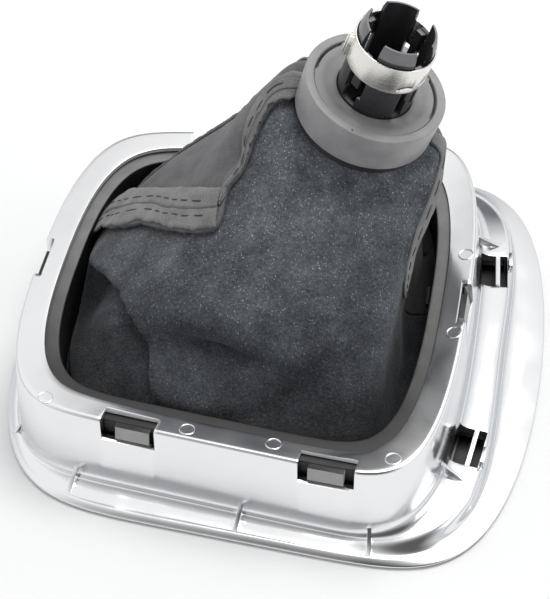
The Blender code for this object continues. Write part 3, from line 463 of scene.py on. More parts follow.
def ring_point(angle, inset=0.0, height=0.0):
    """A point of the ring's outline, moved in by an inset and up by a height."""
    return Vector((0.0, 0.0, height)) + superellipse(
        RING_HALF_LENGTH - inset, RING_HALF_WIDTH - inset, RING_TAPER,
        SIDE_POWER, END_POWER, RING_CENTRE_X, angle,
    )


def flange_point(angle, inset=0.0, height=0.0):
    """A point of the flange's outline, moved in by an inset and up by a height."""
    return Vector((0.0, 0.0, height)) + superellipse(
        FLANGE_HALF_LENGTH - inset, FLANGE_HALF_WIDTH - inset, FLANGE_TAPER,
        FLANGE_SIDE_POWER, FLANGE_END_POWER, 0.0, angle,
    )


def ledge_amount(angle):
    """One over the wide part of the ledge, nought where it is narrow."""
    return ease(cos(radians(angle)), cos(radians(LEDGE_END_ANGLE)), cos(radians(LEDGE_FULL_ANGLE)))


def ledge_point(angle, inset=0.0, height=0.0):
    """A point of the ledge's outer edge, moved in by an inset and up to a height."""
    corner = (sin(radians(angle)) / sin(radians(LEDGE_CORNER_ANGLE))) ** 2
    wide = LEDGE_SHARE + (LEDGE_CORNER_SHARE - LEDGE_SHARE) * min(1.0, corner)
    share = LEDGE_LOW_SHARE + (wide - LEDGE_LOW_SHARE) * ledge_amount(angle)
    place = ring_point(angle, inset - WALL_DRAFT).lerp(flange_point(angle, inset), share)
    place.z = height
    return place


def ledge_height(angle):
    """Height of the ledge's top at an angle."""
    return LEDGE_LOW_HEIGHT + (LEDGE_HEIGHT - LEDGE_LOW_HEIGHT) * ledge_amount(angle)


def outline_angles(count):
    """Angles round an outline, closer together at its corners."""
    turns = [2 * pi * step / count for step in range(count)]
    return [(turn + OUTLINE_CROWDING * sin(4 * turn)) * 180.0 / pi for turn in turns]


def wall_frame(angle, inset=0.0, height=0.0):
    """A matrix on the wall at an angle: X along the wall, Y outward, Z up."""
    along = (ring_point(angle + 0.5, inset) - ring_point(angle - 0.5, inset)).normalized()
    outward = Vector((along.y, -along.x, 0.0))
    up = Vector((0, 0, 1))
    turn = Matrix((outward.cross(up), outward, up)).transposed()
    return Matrix.Translation(ring_point(angle, inset, height)) @ turn.to_4x4()


def angle_at_x(x, side):
    """The outline angle on the front (-1) or rear (1) wall at a given X."""
    return side * last_where(lambda a: ring_point(side * a).x > x, 20.0, 160.0)


def angle_at_y(y, end):
    """The outline angle on the +X (1) or -X (-1) end at a given Y."""
    if end > 0:
        return last_where(lambda a: ring_point(a).y < y, -60.0, 60.0)
    return 180.0 - last_where(lambda a: ring_point(180.0 - a).y < y, -60.0, 60.0)


def ring_dip(x):
    """How far the ring's top slopes down to its inner edge: less on the far left."""
    return RING_DIP * (RING_DIP_LEAST + (1 - RING_DIP_LEAST) * ease(x, *RING_DIP_EASE))


def ring_top(x, y):
    """Height of the ring's sloping top at a place."""
    across = abs(x - RING_CENTRE_X)
    along = abs(y / (1 + RING_TAPER * (x - RING_CENTRE_X) / RING_HALF_LENGTH))

    def is_inside(inset):
        side = (across / (RING_HALF_LENGTH - inset)) ** SIDE_POWER
        return side + (along / (RING_HALF_WIDTH - inset)) ** END_POWER < 1.0

    return BEZEL_HEIGHT - ring_dip(x) * last_where(is_inside, 0.0, RING_WIDTH, steps=20) / RING_WIDTH


def windows():
    """Outline angle and notch depth of the six clip windows."""
    front = [angle_at_x(x, -1) for x in FRONT_WINDOWS_X]
    long_sides = [(side * angle, WINDOW_NOTCH) for side in (1, -1) for angle in front]
    ends = [(angle_at_y(END_WINDOW_Y, end), END_WINDOW_NOTCH) for end in (-1, 1)]
    return long_sides + ends


def slot_frame(side, height):
    """A matrix at the foot of the +X wall where a pair of slots lies."""
    return wall_frame(angle_at_y(SLOT_MIDDLE_Y + side * SLOT_SPREAD, 1), -WALL_DRAFT - SLOT_WALL_GAP, height)


def rounded(corners, radii, steps=4):
    """A closed section with each corner replaced by an arc of its radius."""
    made = []
    count = len(corners)
    for index, here in enumerate(corners):
        before = corners[index - 1] - here
        after = corners[(index + 1) % count] - here
        radius = radii[index]
        if radius == 0.0:
            made.append(here)
            continue
        start = here + before.normalized() * min(radius, before.length * 0.45)
        end = here + after.normalized() * min(radius, after.length * 0.45)
        for step in range(steps + 1):
            share = step / steps
            made.append(start.lerp(here, share).lerp(here.lerp(end, share), share))
    return made


def mesh_of(name, work, outward=False):
    """The mesh of a bmesh, which is freed, with its faces turned outward where asked."""
    mesh = bpy.data.meshes.new(name)
    if outward:
        bmesh.ops.recalc_face_normals(work, faces=work.faces[:])
    work.to_mesh(mesh)
    work.free()
    return mesh


def mesh_from(name, grid, wrap_rows=False, wrap_columns=False):
    """A mesh whose faces join a grid of points, closed round its rows or columns where asked."""
    work = bmesh.new()
    rows = [[work.verts.new(place) for place in row] for row in grid]
    last_row = len(rows) if wrap_rows else len(rows) - 1
    last_step = len(rows[0]) if wrap_columns else len(rows[0]) - 1
    for index in range(last_row):
        row, other = rows[index], rows[(index + 1) % len(rows)]
        for step in range(last_step):
            after = (step + 1) % len(row)
            work.faces.new((row[step], row[after], other[after], other[step]))
    mesh = mesh_of(name, work, outward=True)
    mesh.shade_smooth()
    return mesh


def piece(name, mesh, look, replaced=(), angle=40.0):
    """Link a mesh as a piece that rides on the part, shaded smooth up to an angle."""
    made = bpy.data.objects.new(name, mesh)
    bpy.context.scene.collection.objects.link(made)
    for one in look if isinstance(look, (list, tuple)) else [look]:
        mesh.materials.append(one)
    mesh.shade_smooth()
    mesh.set_sharp_from_angle(angle=radians(angle))
    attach(made, BODY)
    if replaced:
        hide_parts(*replaced)
    return made


def dress(node, look):
    """Give a node of the frame its material."""
    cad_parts[node].material_slots[0].material = look


def box_into(work, size, matrix):
    """Add a box to a bmesh."""
    bmesh.ops.create_cube(work, size=1.0, matrix=matrix @ Matrix.Diagonal((*size, 1.0)))


def apply_modifiers(made):
    """Replace a piece's mesh by its evaluated one."""
    look = list(made.data.materials)
    graph = bpy.context.evaluated_depsgraph_get()
    graph.update()
    mesh = bpy.data.meshes.new_from_object(made.evaluated_get(graph))
    made.modifiers.clear()
    made.data = mesh
    if not mesh.materials:
        for one in look:
            mesh.materials.append(one)


def boolean(made, work, operation):
    """Cut or join a piece with the shapes of a bmesh, which is freed."""
    mesh = mesh_of("tool", work, outward=True)
    tool = bpy.data.objects.new("tool", mesh)
    bpy.context.scene.collection.objects.link(tool)
    step = made.modifiers.new("cut", "BOOLEAN")
    step.operation = operation
    step.solver = "EXACT"
    step.use_self = True
    step.object = tool
    apply_modifiers(made)
    bpy.data.objects.remove(tool)
    bpy.data.meshes.remove(mesh)


def soften(made, width, angle=50.0, segments=2):
    """Chamfer the sharp edges a little, so that they catch the light."""
    step = made.modifiers.new("edge", "BEVEL")
    step.width = width
    step.segments = segments
    step.limit_method = "ANGLE"
    step.angle_limit = radians(angle)
    step.harden_normals = False
    apply_modifiers(made)
    made.data.shade_smooth()
    made.data.set_sharp_from_angle(angle=radians(40.0))


def place_on_knob(turn, radius, height):
    """A matrix at a place round the knob's axis, with X pointing out."""
    return KNOB_MATRIX @ Matrix.Rotation(radians(turn), 4, "Z") @ Matrix.Translation((radius, 0, height))


def knob_point(turn, radius, height):
    """A point round the knob's axis."""
    return KNOB_MATRIX @ Vector((radius * cos(radians(turn)), radius * sin(radians(turn)), height))


def turned(name, profile, radii, steps):
    """A mesh turned about the knob's axis from a closed profile of radius and height, or one for each angle."""
    rows = []
    for step in range(steps):
        angle = 360.0 * step / steps
        drawn = profile(angle) if callable(profile) else profile
        section = rounded([Vector((radius, 0.0, height)) for radius, height in drawn], radii)
        rows.append([knob_point(angle, spot.x, spot.z) for spot in section])
    return mesh_from(name, rows, wrap_rows=True, wrap_columns=True)


def fill(tree, node, values):
    """Set a node's inputs: constants directly, and sockets by a link."""
    for key, value in values.items():
        if isinstance(value, bpy.types.NodeSocket):
            tree.links.new(value, node.inputs[key])
        else:
            node.inputs[key].default_value = value


def add_node(tree, kind, values=None, stops=None, **settings):
    """Add a node of a kind with its settings, its inputs' values and a ramp's stops."""
    node = tree.nodes.new(kind)
    for key, value in settings.items():
        setattr(node, key, value)
    fill(tree, node, values or {})
    for number, (place, colour) in enumerate(stops or ()):
        ramp = node.color_ramp.elements
        element = ramp[number] if number < len(ramp) else ramp.new(place)
        element.position = place
        element.color = colour
    return node


def span(low, high, first, last):
    """The inputs of a range node that turns low to high into first to last."""
    return {"From Min": low, "From Max": high, "To Min": first, "To Max": last}


def new_material(name):
    """A material, its node tree and its shader."""
    made = bpy.data.materials.new(name)
    made.use_nodes = True
    return made, made.node_tree, made.node_tree.nodes["Principled BSDF"]


def shade(colour, factor):
    """A colour made darker or lighter by a factor."""
    return (*(min(1.0, part * factor) for part in colour[:3]), 1.0)


def chrome_plated_abs(name, colour):
    """Chrome plated on moulded ABS: a cold mirror, with the slow ripple of the moulding under it."""
    made, tree, shader = new_material(name)
    place = add_node(tree, "ShaderNodeTexCoord").outputs["Object"]
    ripple = add_node(tree, "ShaderNodeTexNoise", {"Vector": place, "Scale": per_mm(9.0), "Detail": 1.0})
    smear = add_node(tree, "ShaderNodeTexNoise", {"Vector": place, "Scale": per_mm(16.0), "Detail": 4.0})
    rough = add_node(tree, "ShaderNodeMapRange", {"Value": smear.outputs["Fac"], **span(0.35, 0.7, 0.13, 0.25)})
    bump = add_node(tree, "ShaderNodeBump", {"Height": ripple.outputs["Fac"], "Strength": 0.5, "Distance": 0.00006})
    fill(tree, shader, {
        "Base Color": colour, "Metallic": 1.0, "Roughness": rough.outputs["Result"], "Normal": bump.outputs["Normal"],
    })
    return made


def moulded_plastic(name, colour, roughness, grain=0.35, depth=0.000012, ior=1.53, fade=None):
    """Injection-moulded plastic: even colour, a fine spark-eroded grain and faint cloudy rub marks.

    A fade paints shade along Y: it gives two places along Y and how dark the plastic is at the first of them.
    """
    made, tree, shader = new_material(name)
    place = add_node(tree, "ShaderNodeTexCoord").outputs["Object"]
    cloud = add_node(tree, "ShaderNodeTexNoise", {"Vector": place, "Scale": per_mm(7.0), "Detail": 3.0})
    fine = add_node(tree, "ShaderNodeTexNoise", {"Vector": place, "Scale": per_mm(grain), "Detail": 2.0})
    tone = add_node(tree, "ShaderNodeValToRGB", {"Fac": cloud.outputs["Fac"]}, stops=[
        (0.30, shade(colour, 0.88)), (0.72, shade(colour, 1.12)),
    ])
    rough = add_node(tree, "ShaderNodeMapRange", {
        "Value": cloud.outputs["Fac"], **span(0.3, 0.7, roughness - 0.06, roughness + 0.06),
    })
    bump = add_node(tree, "ShaderNodeBump", {"Height": fine.outputs["Fac"], "Strength": 1.0, "Distance": depth})
    shown = tone.outputs["Color"]
    if fade:
        split = add_node(tree, "ShaderNodeSeparateXYZ", {"Vector": place})
        amount = add_node(tree, "ShaderNodeMapRange", {
            "Value": split.outputs["Y"], **span(fade[0], fade[1], fade[2], 1.0),
        })
        shown = add_node(tree, "ShaderNodeVectorMath", {0: shown, "Scale": amount.outputs["Result"]}, operation="SCALE")
        shown = shown.outputs["Vector"]
    fill(tree, shader, {
        "Base Color": shown, "IOR": ior, "Roughness": rough.outputs["Result"], "Normal": bump.outputs["Normal"],
    })
    return made


def napped_suede(name, colour):
    """Microfibre suede, brushed: a blue-black nap with light fibre ends; painted light and shade make it lighter
    towards the neck, darker towards the hem, with more fibre ends showing up high.
    """
    made, tree, shader = new_material(name)
    place = add_node(tree, "ShaderNodeTexCoord").outputs["Object"]
    stroke = add_node(tree, "ShaderNodeTexNoise", {
        "Vector": place, "Scale": per_mm(11.0), "Detail": 5.0, "Roughness": 0.6,
    })
    nap = add_node(tree, "ShaderNodeTexNoise", {
        "Vector": place, "Scale": per_mm(0.9), "Detail": 3.0, "Roughness": 0.75,
    })
    mixed = add_node(tree, "ShaderNodeMix", {0: 0.55, 2: stroke.outputs["Fac"], 3: nap.outputs["Fac"]})
    mottled = add_node(tree, "ShaderNodeValToRGB", {"Fac": mixed.outputs[0]}, stops=[
        (0.36, shade(colour, 0.40)), (0.50, shade(colour, 0.92)), (0.66, shade(colour, 1.75)),
    ])
    split = add_node(tree, "ShaderNodeSeparateXYZ", {"Vector": place})
    # Painted light and shade by height: darker towards the hem, lighter towards the neck; it also brings out more fibre
    # ends up high
    painted_light_by_height = add_node(tree, "ShaderNodeMapRange", {"Value": split.outputs["Z"], **span(0.018, 0.072, 0.46, 2.15)})
    tone = add_node(tree, "ShaderNodeVectorMath", {
        0: mottled.outputs["Color"], "Scale": painted_light_by_height.outputs["Result"],
    }, operation="SCALE")
    stir = add_node(tree, "ShaderNodeTexNoise", {"Vector": place, "Scale": per_mm(0.5), "Detail": 1.0})
    stirred = add_node(tree, "ShaderNodeVectorMath", {0: stir.outputs["Color"], "Scale": 0.0007}, operation="SCALE")
    bent = add_node(tree, "ShaderNodeVectorMath", {0: place, 1: stirred.outputs["Vector"]}, operation="ADD")
    drawn = add_node(tree, "ShaderNodeVectorMath", {
        0: bent.outputs["Vector"], 1: (1.25, 1.25, 0.55),
    }, operation="MULTIPLY")
    fleck = add_node(tree, "ShaderNodeTexVoronoi", {"Vector": drawn.outputs["Vector"], "Scale": per_mm(0.8)})
    spot = add_node(tree, "ShaderNodeMapRange", {"Value": fleck.outputs["Distance"], **span(0.09, 0.285, 1.0, 0.0)})
    chance = add_node(tree, "ShaderNodeSeparateColor", {"Color": fleck.outputs["Color"]})
    lit = add_node(tree, "ShaderNodeMapRange", {"Value": chance.outputs["Red"], **span(0.40, 0.93, 0.0, 0.94)})
    patch = add_node(tree, "ShaderNodeMapRange", {"Value": stroke.outputs["Fac"], **span(0.40, 0.60, 0.45, 1.0)})
    some = add_node(tree, "ShaderNodeMath", {0: spot.outputs["Result"], 1: lit.outputs["Result"]}, operation="MULTIPLY")
    worn = add_node(tree, "ShaderNodeMath", {0: some.outputs[0], 1: patch.outputs["Result"]}, operation="MULTIPLY")
    most = add_node(tree, "ShaderNodeMath", {0: painted_light_by_height.outputs["Result"], 1: 2.0}, operation="POWER")
    amount = add_node(tree, "ShaderNodeMath", {
        0: worn.outputs[0], 1: most.outputs[0],
    }, operation="MULTIPLY", use_clamp=True)
    fibre_flecks_and_painted_light = add_node(tree, "ShaderNodeMix", {
        0: amount.outputs[0], 6: tone.outputs["Vector"], 7: linear("#AEB2B7"),
    }, data_type="RGBA")
    pile = add_node(tree, "ShaderNodeTexNoise", {"Vector": place, "Scale": per_mm(0.8), "Detail": 3.0})
    bump = add_node(tree, "ShaderNodeBump", {"Height": pile.outputs["Fac"], "Strength": 1.0, "Distance": 0.0004})
    fill(tree, shader, {
        "Base Color": fibre_flecks_and_painted_light.outputs[2], "Roughness": 0.95, "Specular IOR Level": 0.2,
        "Sheen Weight": 0.12, "Sheen Roughness": 0.5, "Normal": bump.outputs["Normal"],
    })
    return made


def knitted_backing(name, colour, low_shade=1.0):
    """Weft-knitted polyester: flat and even, with loops about half a millimetre apart.

    A low shade under one paints shade on it, darker towards the hem.
    """
    made, tree, shader = new_material(name)
    place = add_node(tree, "ShaderNodeTexCoord").outputs["Object"]
    loops = add_node(tree, "ShaderNodeTexVoronoi", {"Vector": place, "Scale": per_mm(0.6), "Randomness": 0.6})
    cloud = add_node(tree, "ShaderNodeTexNoise", {
        "Vector": place, "Scale": per_mm(8.0), "Detail": 4.0, "Roughness": 0.6,
    })
    mixed = add_node(tree, "ShaderNodeMix", {0: 0.3, 2: cloud.outputs["Fac"], 3: loops.outputs["Distance"]})
    tone = add_node(tree, "ShaderNodeValToRGB", {"Fac": mixed.outputs[0]}, stops=[
        (0.34, shade(colour, 0.78)), (0.64, shade(colour, 1.2)),
    ])
    split = add_node(tree, "ShaderNodeSeparateXYZ", {"Vector": place})
    # Painted shade: darker towards the hem
    painted_hem_shade = add_node(tree, "ShaderNodeMapRange", {"Value": split.outputs["Z"], **span(0.022, 0.052, low_shade, 1.0)})
    shaded = add_node(tree, "ShaderNodeVectorMath", {
        0: tone.outputs["Color"], "Scale": painted_hem_shade.outputs["Result"],
    }, operation="SCALE")
    bump = add_node(tree, "ShaderNodeBump", {"Height": loops.outputs["Distance"], "Strength": 0.7, "Distance": 0.00012})
    fill(tree, shader, {
        "Base Color": shaded.outputs["Vector"], "Roughness": 0.9, "Specular IOR Level": 0.25,
        "Sheen Weight": 0.1, "Normal": bump.outputs["Normal"],
    })
    return made


def rolled_steel(name, colour):
    """Rolled stainless strip: pale warm grey, with fine drawn lines round the band."""
    made, tree, shader = new_material(name)
    place = add_node(tree, "ShaderNodeTexCoord").outputs["Object"]
    turn = KNOB_MATRIX.inverted().to_euler()
    along = add_node(tree, "ShaderNodeMapping", {"Vector": place, "Rotation": turn})
    drawn = add_node(tree, "ShaderNodeMapping", {"Vector": along.outputs["Vector"], "Scale": (0.02, 0.02, 1.0)})
    lines = add_node(tree, "ShaderNodeTexNoise", {
        "Vector": drawn.outputs["Vector"], "Scale": per_mm(0.25), "Detail": 2.0,
    })
    rough = add_node(tree, "ShaderNodeMapRange", {"Value": lines.outputs["Fac"], **span(0.3, 0.7, 0.22, 0.30)})
    bump = add_node(tree, "ShaderNodeBump", {"Height": lines.outputs["Fac"], "Strength": 0.06, "Distance": 0.00001})
    fill(tree, shader, {
        "Base Color": colour, "Metallic": 1.0, "Roughness": rough.outputs["Result"], "Normal": bump.outputs["Normal"],
    })
    return made


def grained_leather(name, colour):
    """Embossed and coated leather: pebbles about a millimetre across, with painted shade darkening the creases between
    them.
    """
    made, tree, shader = new_material(name)
    place = add_node(tree, "ShaderNodeTexCoord").outputs["Object"]
    pebbles = add_node(tree, "ShaderNodeTexVoronoi", {
        "Vector": place, "Scale": per_mm(1.1),
    }, feature="DISTANCE_TO_EDGE")
    tone = add_node(tree, "ShaderNodeValToRGB", {"Fac": pebbles.outputs["Distance"]}, stops=[
        (0.0, shade(colour, 0.5)), (0.18, shade(colour, 1.1)),
    ])
    bump = add_node(tree, "ShaderNodeBump", {
        "Height": pebbles.outputs["Distance"], "Strength": 0.6, "Distance": 0.0002,
    })
    fill(tree, shader, {"Base Color": tone.outputs["Color"], "Roughness": 0.5, "Normal": bump.outputs["Normal"]})
    return made


def add_retainer_tabs(work):
    """Add the six snap tabs to a bmesh."""
    sill = BEZEL_HEIGHT - WINDOW_HEIGHT + TAB_SILL
    reach = FRAME_OUTER_INSET + FRAME_WALL / 2
    for angle, _ in windows():
        place = wall_frame(angle, reach / 2, sill + TAB_HEIGHT / 2) @ Matrix.Translation((-TAB_SHIFT, 0, 0))
        start = len(work.verts)
        box_into(work, (TAB_WIDTH, reach, TAB_HEIGHT), place)
        work.verts.ensure_lookup_table()
        back = place.inverted()
        for vert in work.verts[start:]:
            spot = back @ vert.co
            if spot.y > 0 and spot.z > 0:
                spot.y -= TAB_SLOPE
                vert.co = place @ spot


class OBJECT_OT_gear_bezel(bpy.types.Operator):
    """Build the chrome bezel with its windows, ledge slots, hooks, ribs and pin marks."""

    bl_idname = "object.gear_bezel"
    bl_label = "Bezel"

    def execute(self, context):
        """Loft the section round the outline, cut the windows and slots, and add the small forms."""
        sizes = context.scene.gear_bezel
        look = chrome_plated_abs("chrome_plated_abs", sizes.chrome)
        # The dark material is unplated ABS on the inward and under faces, and also painted shade there and on the slot
        # plates, so that the hollow under the ledge looks dark
        hidden = moulded_plastic("unplated_abs_and_painted_shade", linear("#1A1A1B"), 0.5)
        milky = moulded_plastic("thinly_plated_edge", linear("#D9DADC"), 0.3)
        flat = sizes.flange_thickness
        radii = (*SLOPE_RADII, sizes.edge_radius, *WALL_RADII)
        rows = []
        for angle in outline_angles(sizes.outline_points):
            amount = ledge_amount(angle)
            high = ledge_height(angle)
            foot = LEDGE_FOOT + LEDGE_FOOT_EXTRA * (1 - amount)
            dip = ring_dip(ring_point(angle).x)
            rows.append(rounded([
                *(ring_point(angle, sizes.ring_width * wide, BEZEL_HEIGHT - dip * deep) for wide, deep in RING_SLOPE),
                ring_point(angle, 0.0, BEZEL_HEIGHT),
                ring_point(angle, -WALL_DRAFT, high),
                ledge_point(angle, 0.0, high),
                ledge_point(angle).lerp(flange_point(angle), foot) + Vector((0, 0, flat)),
                flange_point(angle, LIP_WIDTH + LIP_EXTRA_AT_END * amount, flat),
                flange_point(angle, 0.0, FLANGE_EDGE_THICKNESS),
                flange_point(angle, FLANGE_EDGE_THICKNESS / 2, 0.0),
                ledge_point(angle, flat, 0.0),
                ledge_point(angle, flat, high - flat),
                ring_point(angle, WALL_THICKNESS - WALL_DRAFT, high - flat),
                ring_point(angle, WALL_THICKNESS, BEZEL_HEIGHT - sizes.ring_thickness),
                ring_point(angle, sizes.ring_width, BEZEL_HEIGHT - sizes.ring_thickness),
            ], radii))
        mesh = mesh_from("bezel_shell", rows, True, True)
        bezel = piece("bezel_shell", mesh, [look, hidden, milky], ["bezel"])

        cuts = bmesh.new()
        depth = CUT_DEPTH
        sill = BEZEL_HEIGHT - WINDOW_HEIGHT
        for angle, notch in windows():
            place = wall_frame(angle, 0.0, sill + depth / 2)
            shift = Matrix.Translation((0, (notch + depth) / 2 - notch, 0))
            start = len(cuts.verts)
            box_into(cuts, (WINDOW_WIDTH, notch + depth, depth), place @ shift)
            if notch == WINDOW_NOTCH:
                cuts.verts.ensure_lookup_table()
                for vert in cuts.verts[start:]:
                    spot = place.inverted() @ vert.co
                    if spot.y < 0:
                        spot.y += NOTCH_SLANT * (WINDOW_HEIGHT - depth / 2 - spot.z)
                        vert.co = place @ spot
        hooks = bmesh.new()
        far = SLOT_WIDTH + SLOT_BAR
        for side in (-1, 1):
            base = slot_frame(side, LEDGE_HEIGHT)
            for middle, width in ((SLOT_WIDTH / 2, SLOT_WIDTH), (far + OUTER_SLOT_WIDTH / 2, OUTER_SLOT_WIDTH)):
                box_into(cuts, (SLOT_LENGTH, width, depth), base @ Matrix.Translation((0, middle, 0)))
            length, thick, high = HOOK_SIZE
            outer = far + OUTER_SLOT_WIDTH + HOOK_SETBACK + thick / 2
            shift = Matrix.Translation((-side * HOOK_OFFSET, outer, high / 2 - HOOK_SINK))
            box_into(hooks, (length, thick, high), base @ shift)
        boolean(bezel, cuts, "DIFFERENCE")

        low = sizes.flange_thickness / 2
        ribs = [(angle_at_x(x, side), RIB_REACH, low) for side in (-1, 1) for x in LONG_RIB_X]
        ribs += [(side * CORNER_RIB_ANGLE, CORNER_RIB_REACH, low) for side in (-1, 1)]
        for side in (-1, 1):
            beside = SLOT_MIDDLE_Y + side * (SLOT_SPREAD + SLOT_LENGTH / 2 + END_RIB_GAP)
            ribs.append((angle_at_y(beside, 1), RIB_REACH, LEDGE_HEIGHT - low))
        for angle, reach, height in ribs:
            place = wall_frame(angle, -WALL_DRAFT, height)
            corners = ((-WALL_THICKNESS / 2, 0.0), (reach, 0.0), (-WALL_THICKNESS / 2, RIB_HEIGHT))
            rib = [
                [hooks.verts.new(place @ Vector((x, across, up))) for across, up in corners]
                for x in (-RIB_THICKNESS / 2, RIB_THICKNESS / 2)
            ]
            hooks.faces.new(rib[0])
            hooks.faces.new(rib[1][::-1])
            for step in range(3):
                after = (step + 1) % 3
                hooks.faces.new((rib[0][step], rib[1][step], rib[1][after], rib[0][after]))
        boolean(bezel, hooks, "UNION")
        soften(bezel, sizes.cut_edge)
        notches = [(wall_frame(angle).inverted(), notch) for angle, notch in windows()]
        for face in bezel.data.polygons:
            flat = Vector((face.center.x - RING_CENTRE_X, face.center.y, 0.0))
            is_inward = face.normal.dot(flat.normalized()) < -INWARD_TURN and face.center.z < BEZEL_HEIGHT - RING_DIP
            is_under = face.normal.z < -UNDER_TURN and face.center.z > 0.0002
            is_edge = False
            for place, notch in notches:
                spot = place @ face.center
                is_near = abs(spot.x) < WINDOW_WIDTH / 2 + NOTCH_NEAR_ALONG and abs(spot.y + notch) < NOTCH_NEAR_OUT
                is_edge = is_edge or (is_near and (place.to_3x3() @ face.normal).y > EDGE_TURN)
            face.material_index = 2 if is_edge else 1 if is_inward or is_under else 0

        # Dark plates under the ledge slots: painted shade, so that the slots look black
        shade_plates = bmesh.new()
        for side in (-1, 1):
            place = slot_frame(side, SLOT_SHADE_PLATE_Z) @ Matrix.Translation((0, (far + OUTER_SLOT_WIDTH) / 2, 0))
            box_into(shade_plates, (SLOT_LENGTH + SLOT_SHADE_PLATE_MARGIN, far + OUTER_SLOT_WIDTH, SLOT_SHADE_PLATE_THICKNESS), place)
        piece("slot_shade_plates", mesh_of("slot_shade_plates", shade_plates), hidden)

        marks = bmesh.new()
        around, about = PIN_MARK_STEPS
        for x, y in PIN_MARKS:
            ring_rows = []
            for step in range(around):
                turn = 2 * pi * step / around
                top = ring_top(x + PIN_MARK_RADIUS * cos(turn), y + PIN_MARK_RADIUS * sin(turn))
                row = []
                for part in range(about):
                    bend = 2 * pi * part / about
                    reach = PIN_MARK_RADIUS + PIN_MARK_WIRE * cos(bend)
                    rise = PIN_MARK_WIRE * (0.3 + 0.8 * sin(bend))
                    row.append(Vector((x + reach * cos(turn), y + reach * sin(turn), top + rise)))
                ring_rows.append(row)
            ring = mesh_from("mark", ring_rows, True, True)
            marks.from_mesh(ring)
            bpy.data.meshes.remove(ring)
        piece("pin_marks", mesh_of("pin_marks", marks), look)
        return {"FINISHED"}


class OBJECT_OT_gear_retainer(bpy.types.Operator):
    """Build the retainer frame inside the wall, with its snap tabs."""

    bl_idname = "object.gear_retainer"
    bl_label = "Retainer Frame"

    def execute(self, context):
        """Loft the channel section and join the tabs to it."""
        sizes = context.scene.gear_bezel
        outer = FRAME_OUTER_INSET
        inner = sizes.ring_width + FRAME_RIM
        section = (
            (outer, FRAME_BOTTOM, 0.0), (outer, FRAME_TOP, 0.0006),
            (sizes.ring_width - 0.0004, FRAME_TOP, 0.0), (inner, FRAME_TOP, 0.0007),
            (inner, FRAME_LIP_TOP, 0.0003), (inner + FRAME_LIP, FRAME_LIP_TOP, 0.0004),
            (inner + FRAME_LIP, FRAME_LIP_TOP - FRAME_WALL, 0.0004),
            (inner - FRAME_WALL, FRAME_LIP_TOP - FRAME_WALL, 0.0),
            (inner - FRAME_WALL, FRAME_TOP - FRAME_WALL, 0.0),
            (outer + FRAME_WALL, FRAME_TOP - FRAME_WALL, 0.0), (outer + FRAME_WALL, FRAME_BOTTOM, 0.0),
        )
        rows = [
            rounded([ring_point(angle, inset, height) for inset, height, _ in section], [spot[2] for spot in section])
            for angle in outline_angles(sizes.outline_points)
        ]
        # The frame is one moulding, shown grey on its rim and tabs and black elsewhere: the black on its inner wall and
        # behind the windows is painted shade, and the rim also gets painted shade towards the front
        looks = [
            moulded_plastic("moulded_abs_rim", sizes.rim, 0.42, fade=RIM_FADE),
            moulded_plastic("moulded_abs_painted_shade", linear("#151516"), 0.5),
            moulded_plastic("moulded_abs_tab", linear("#A9A8A7"), 0.45),
        ]
        frame_piece = piece(
            "retainer", mesh_from("retainer", rows, True, True), looks, ["retainer_frame"],
        )
        tabs = bmesh.new()
        add_retainer_tabs(tabs)
        boolean(frame_piece, tabs, "UNION")
        soften(frame_piece, FRAME_EDGE)

        sill = BEZEL_HEIGHT - WINDOW_HEIGHT
        places = [wall_frame(angle).inverted() for angle, _ in windows()]
        for face in frame_piece.data.polygons:
            flat = Vector((face.center.x - RING_CENTRE_X, face.center.y, 0.0))
            lean = 1 + RING_TAPER * flat.x / RING_HALF_LENGTH
            edge = ring_point(atan2(flat.y / lean, flat.x) * 180.0 / pi, sizes.ring_width - 0.0003)
            is_shown = flat.length < hypot(edge.x - RING_CENTRE_X, edge.y)
            is_rim = is_shown and face.center.z > FRAME_TOP - 0.0005 and face.normal.z > RIM_TURN
            is_tab = False
            for place in places:
                spot = place @ face.center
                is_near = abs(spot.x + TAB_SHIFT) < TAB_WIDTH * 0.51 and spot.y > 0.0004 - FRAME_OUTER_INSET
                is_tab = is_tab or (is_near and spot.z > sill and spot.y < 0.01)
            face.material_index = 2 if is_tab else 0 if is_rim else 1
        return {"FINISHED"}


def smooth_course(line, share):
    """Value at a share along a list of (share, value) pairs, on a curve through them."""
    count = len(line)
    for index in range(count - 1):
        start, first = line[index]
        end, second = line[index + 1]
        if share <= end or index == count - 2:
            before = line[max(0, index - 1)]
            after = line[min(count - 1, index + 2)]
            lead = (second - before[1]) / (end - before[0]) * (end - start)
            tail = (after[1] - first) / (after[0] - start) * (end - start)
            at = min(1.0, max(0.0, (share - start) / (end - start)))
            return (
                first * (2 * at ** 3 - 3 * at ** 2 + 1) + lead * (at ** 3 - 2 * at ** 2 + at)
                + second * (3 * at ** 2 - 2 * at ** 3) + tail * (at ** 3 - at ** 2)
            )
    return line[-1][1]


def ease(value, low, high):
    """Nought below low, one above high, smooth between."""
    share = min(1.0, max(0.0, (value - low) / (high - low)))
    return share * share * (3 - 2 * share)


def billow(angle):
    """How far the gaiter bulges out at an angle, blended between the named places."""
    angle %= 360.0
    ring = list(BILLOW) + [(BILLOW[0][0] + 360.0, BILLOW[0][1])]
    for (start, first), (end, second) in zip(ring, ring[1:]):
        if angle <= end:
            part = (1 - cos(pi * (angle - start) / (end - start))) / 2
            return first + (second - first) * part
    return ring[-1][1]


def fold_depth(angle, share):
    """Sum of the folds at a place on the gaiter."""
    total = 0.0
    for at, height, reach, tall, depth in FOLDS:
        turn = (angle - at + 180.0) % 360.0 - 180.0
        total += depth * exp(-((turn / reach) ** 2) - ((share - height) / tall) ** 2)
    return total


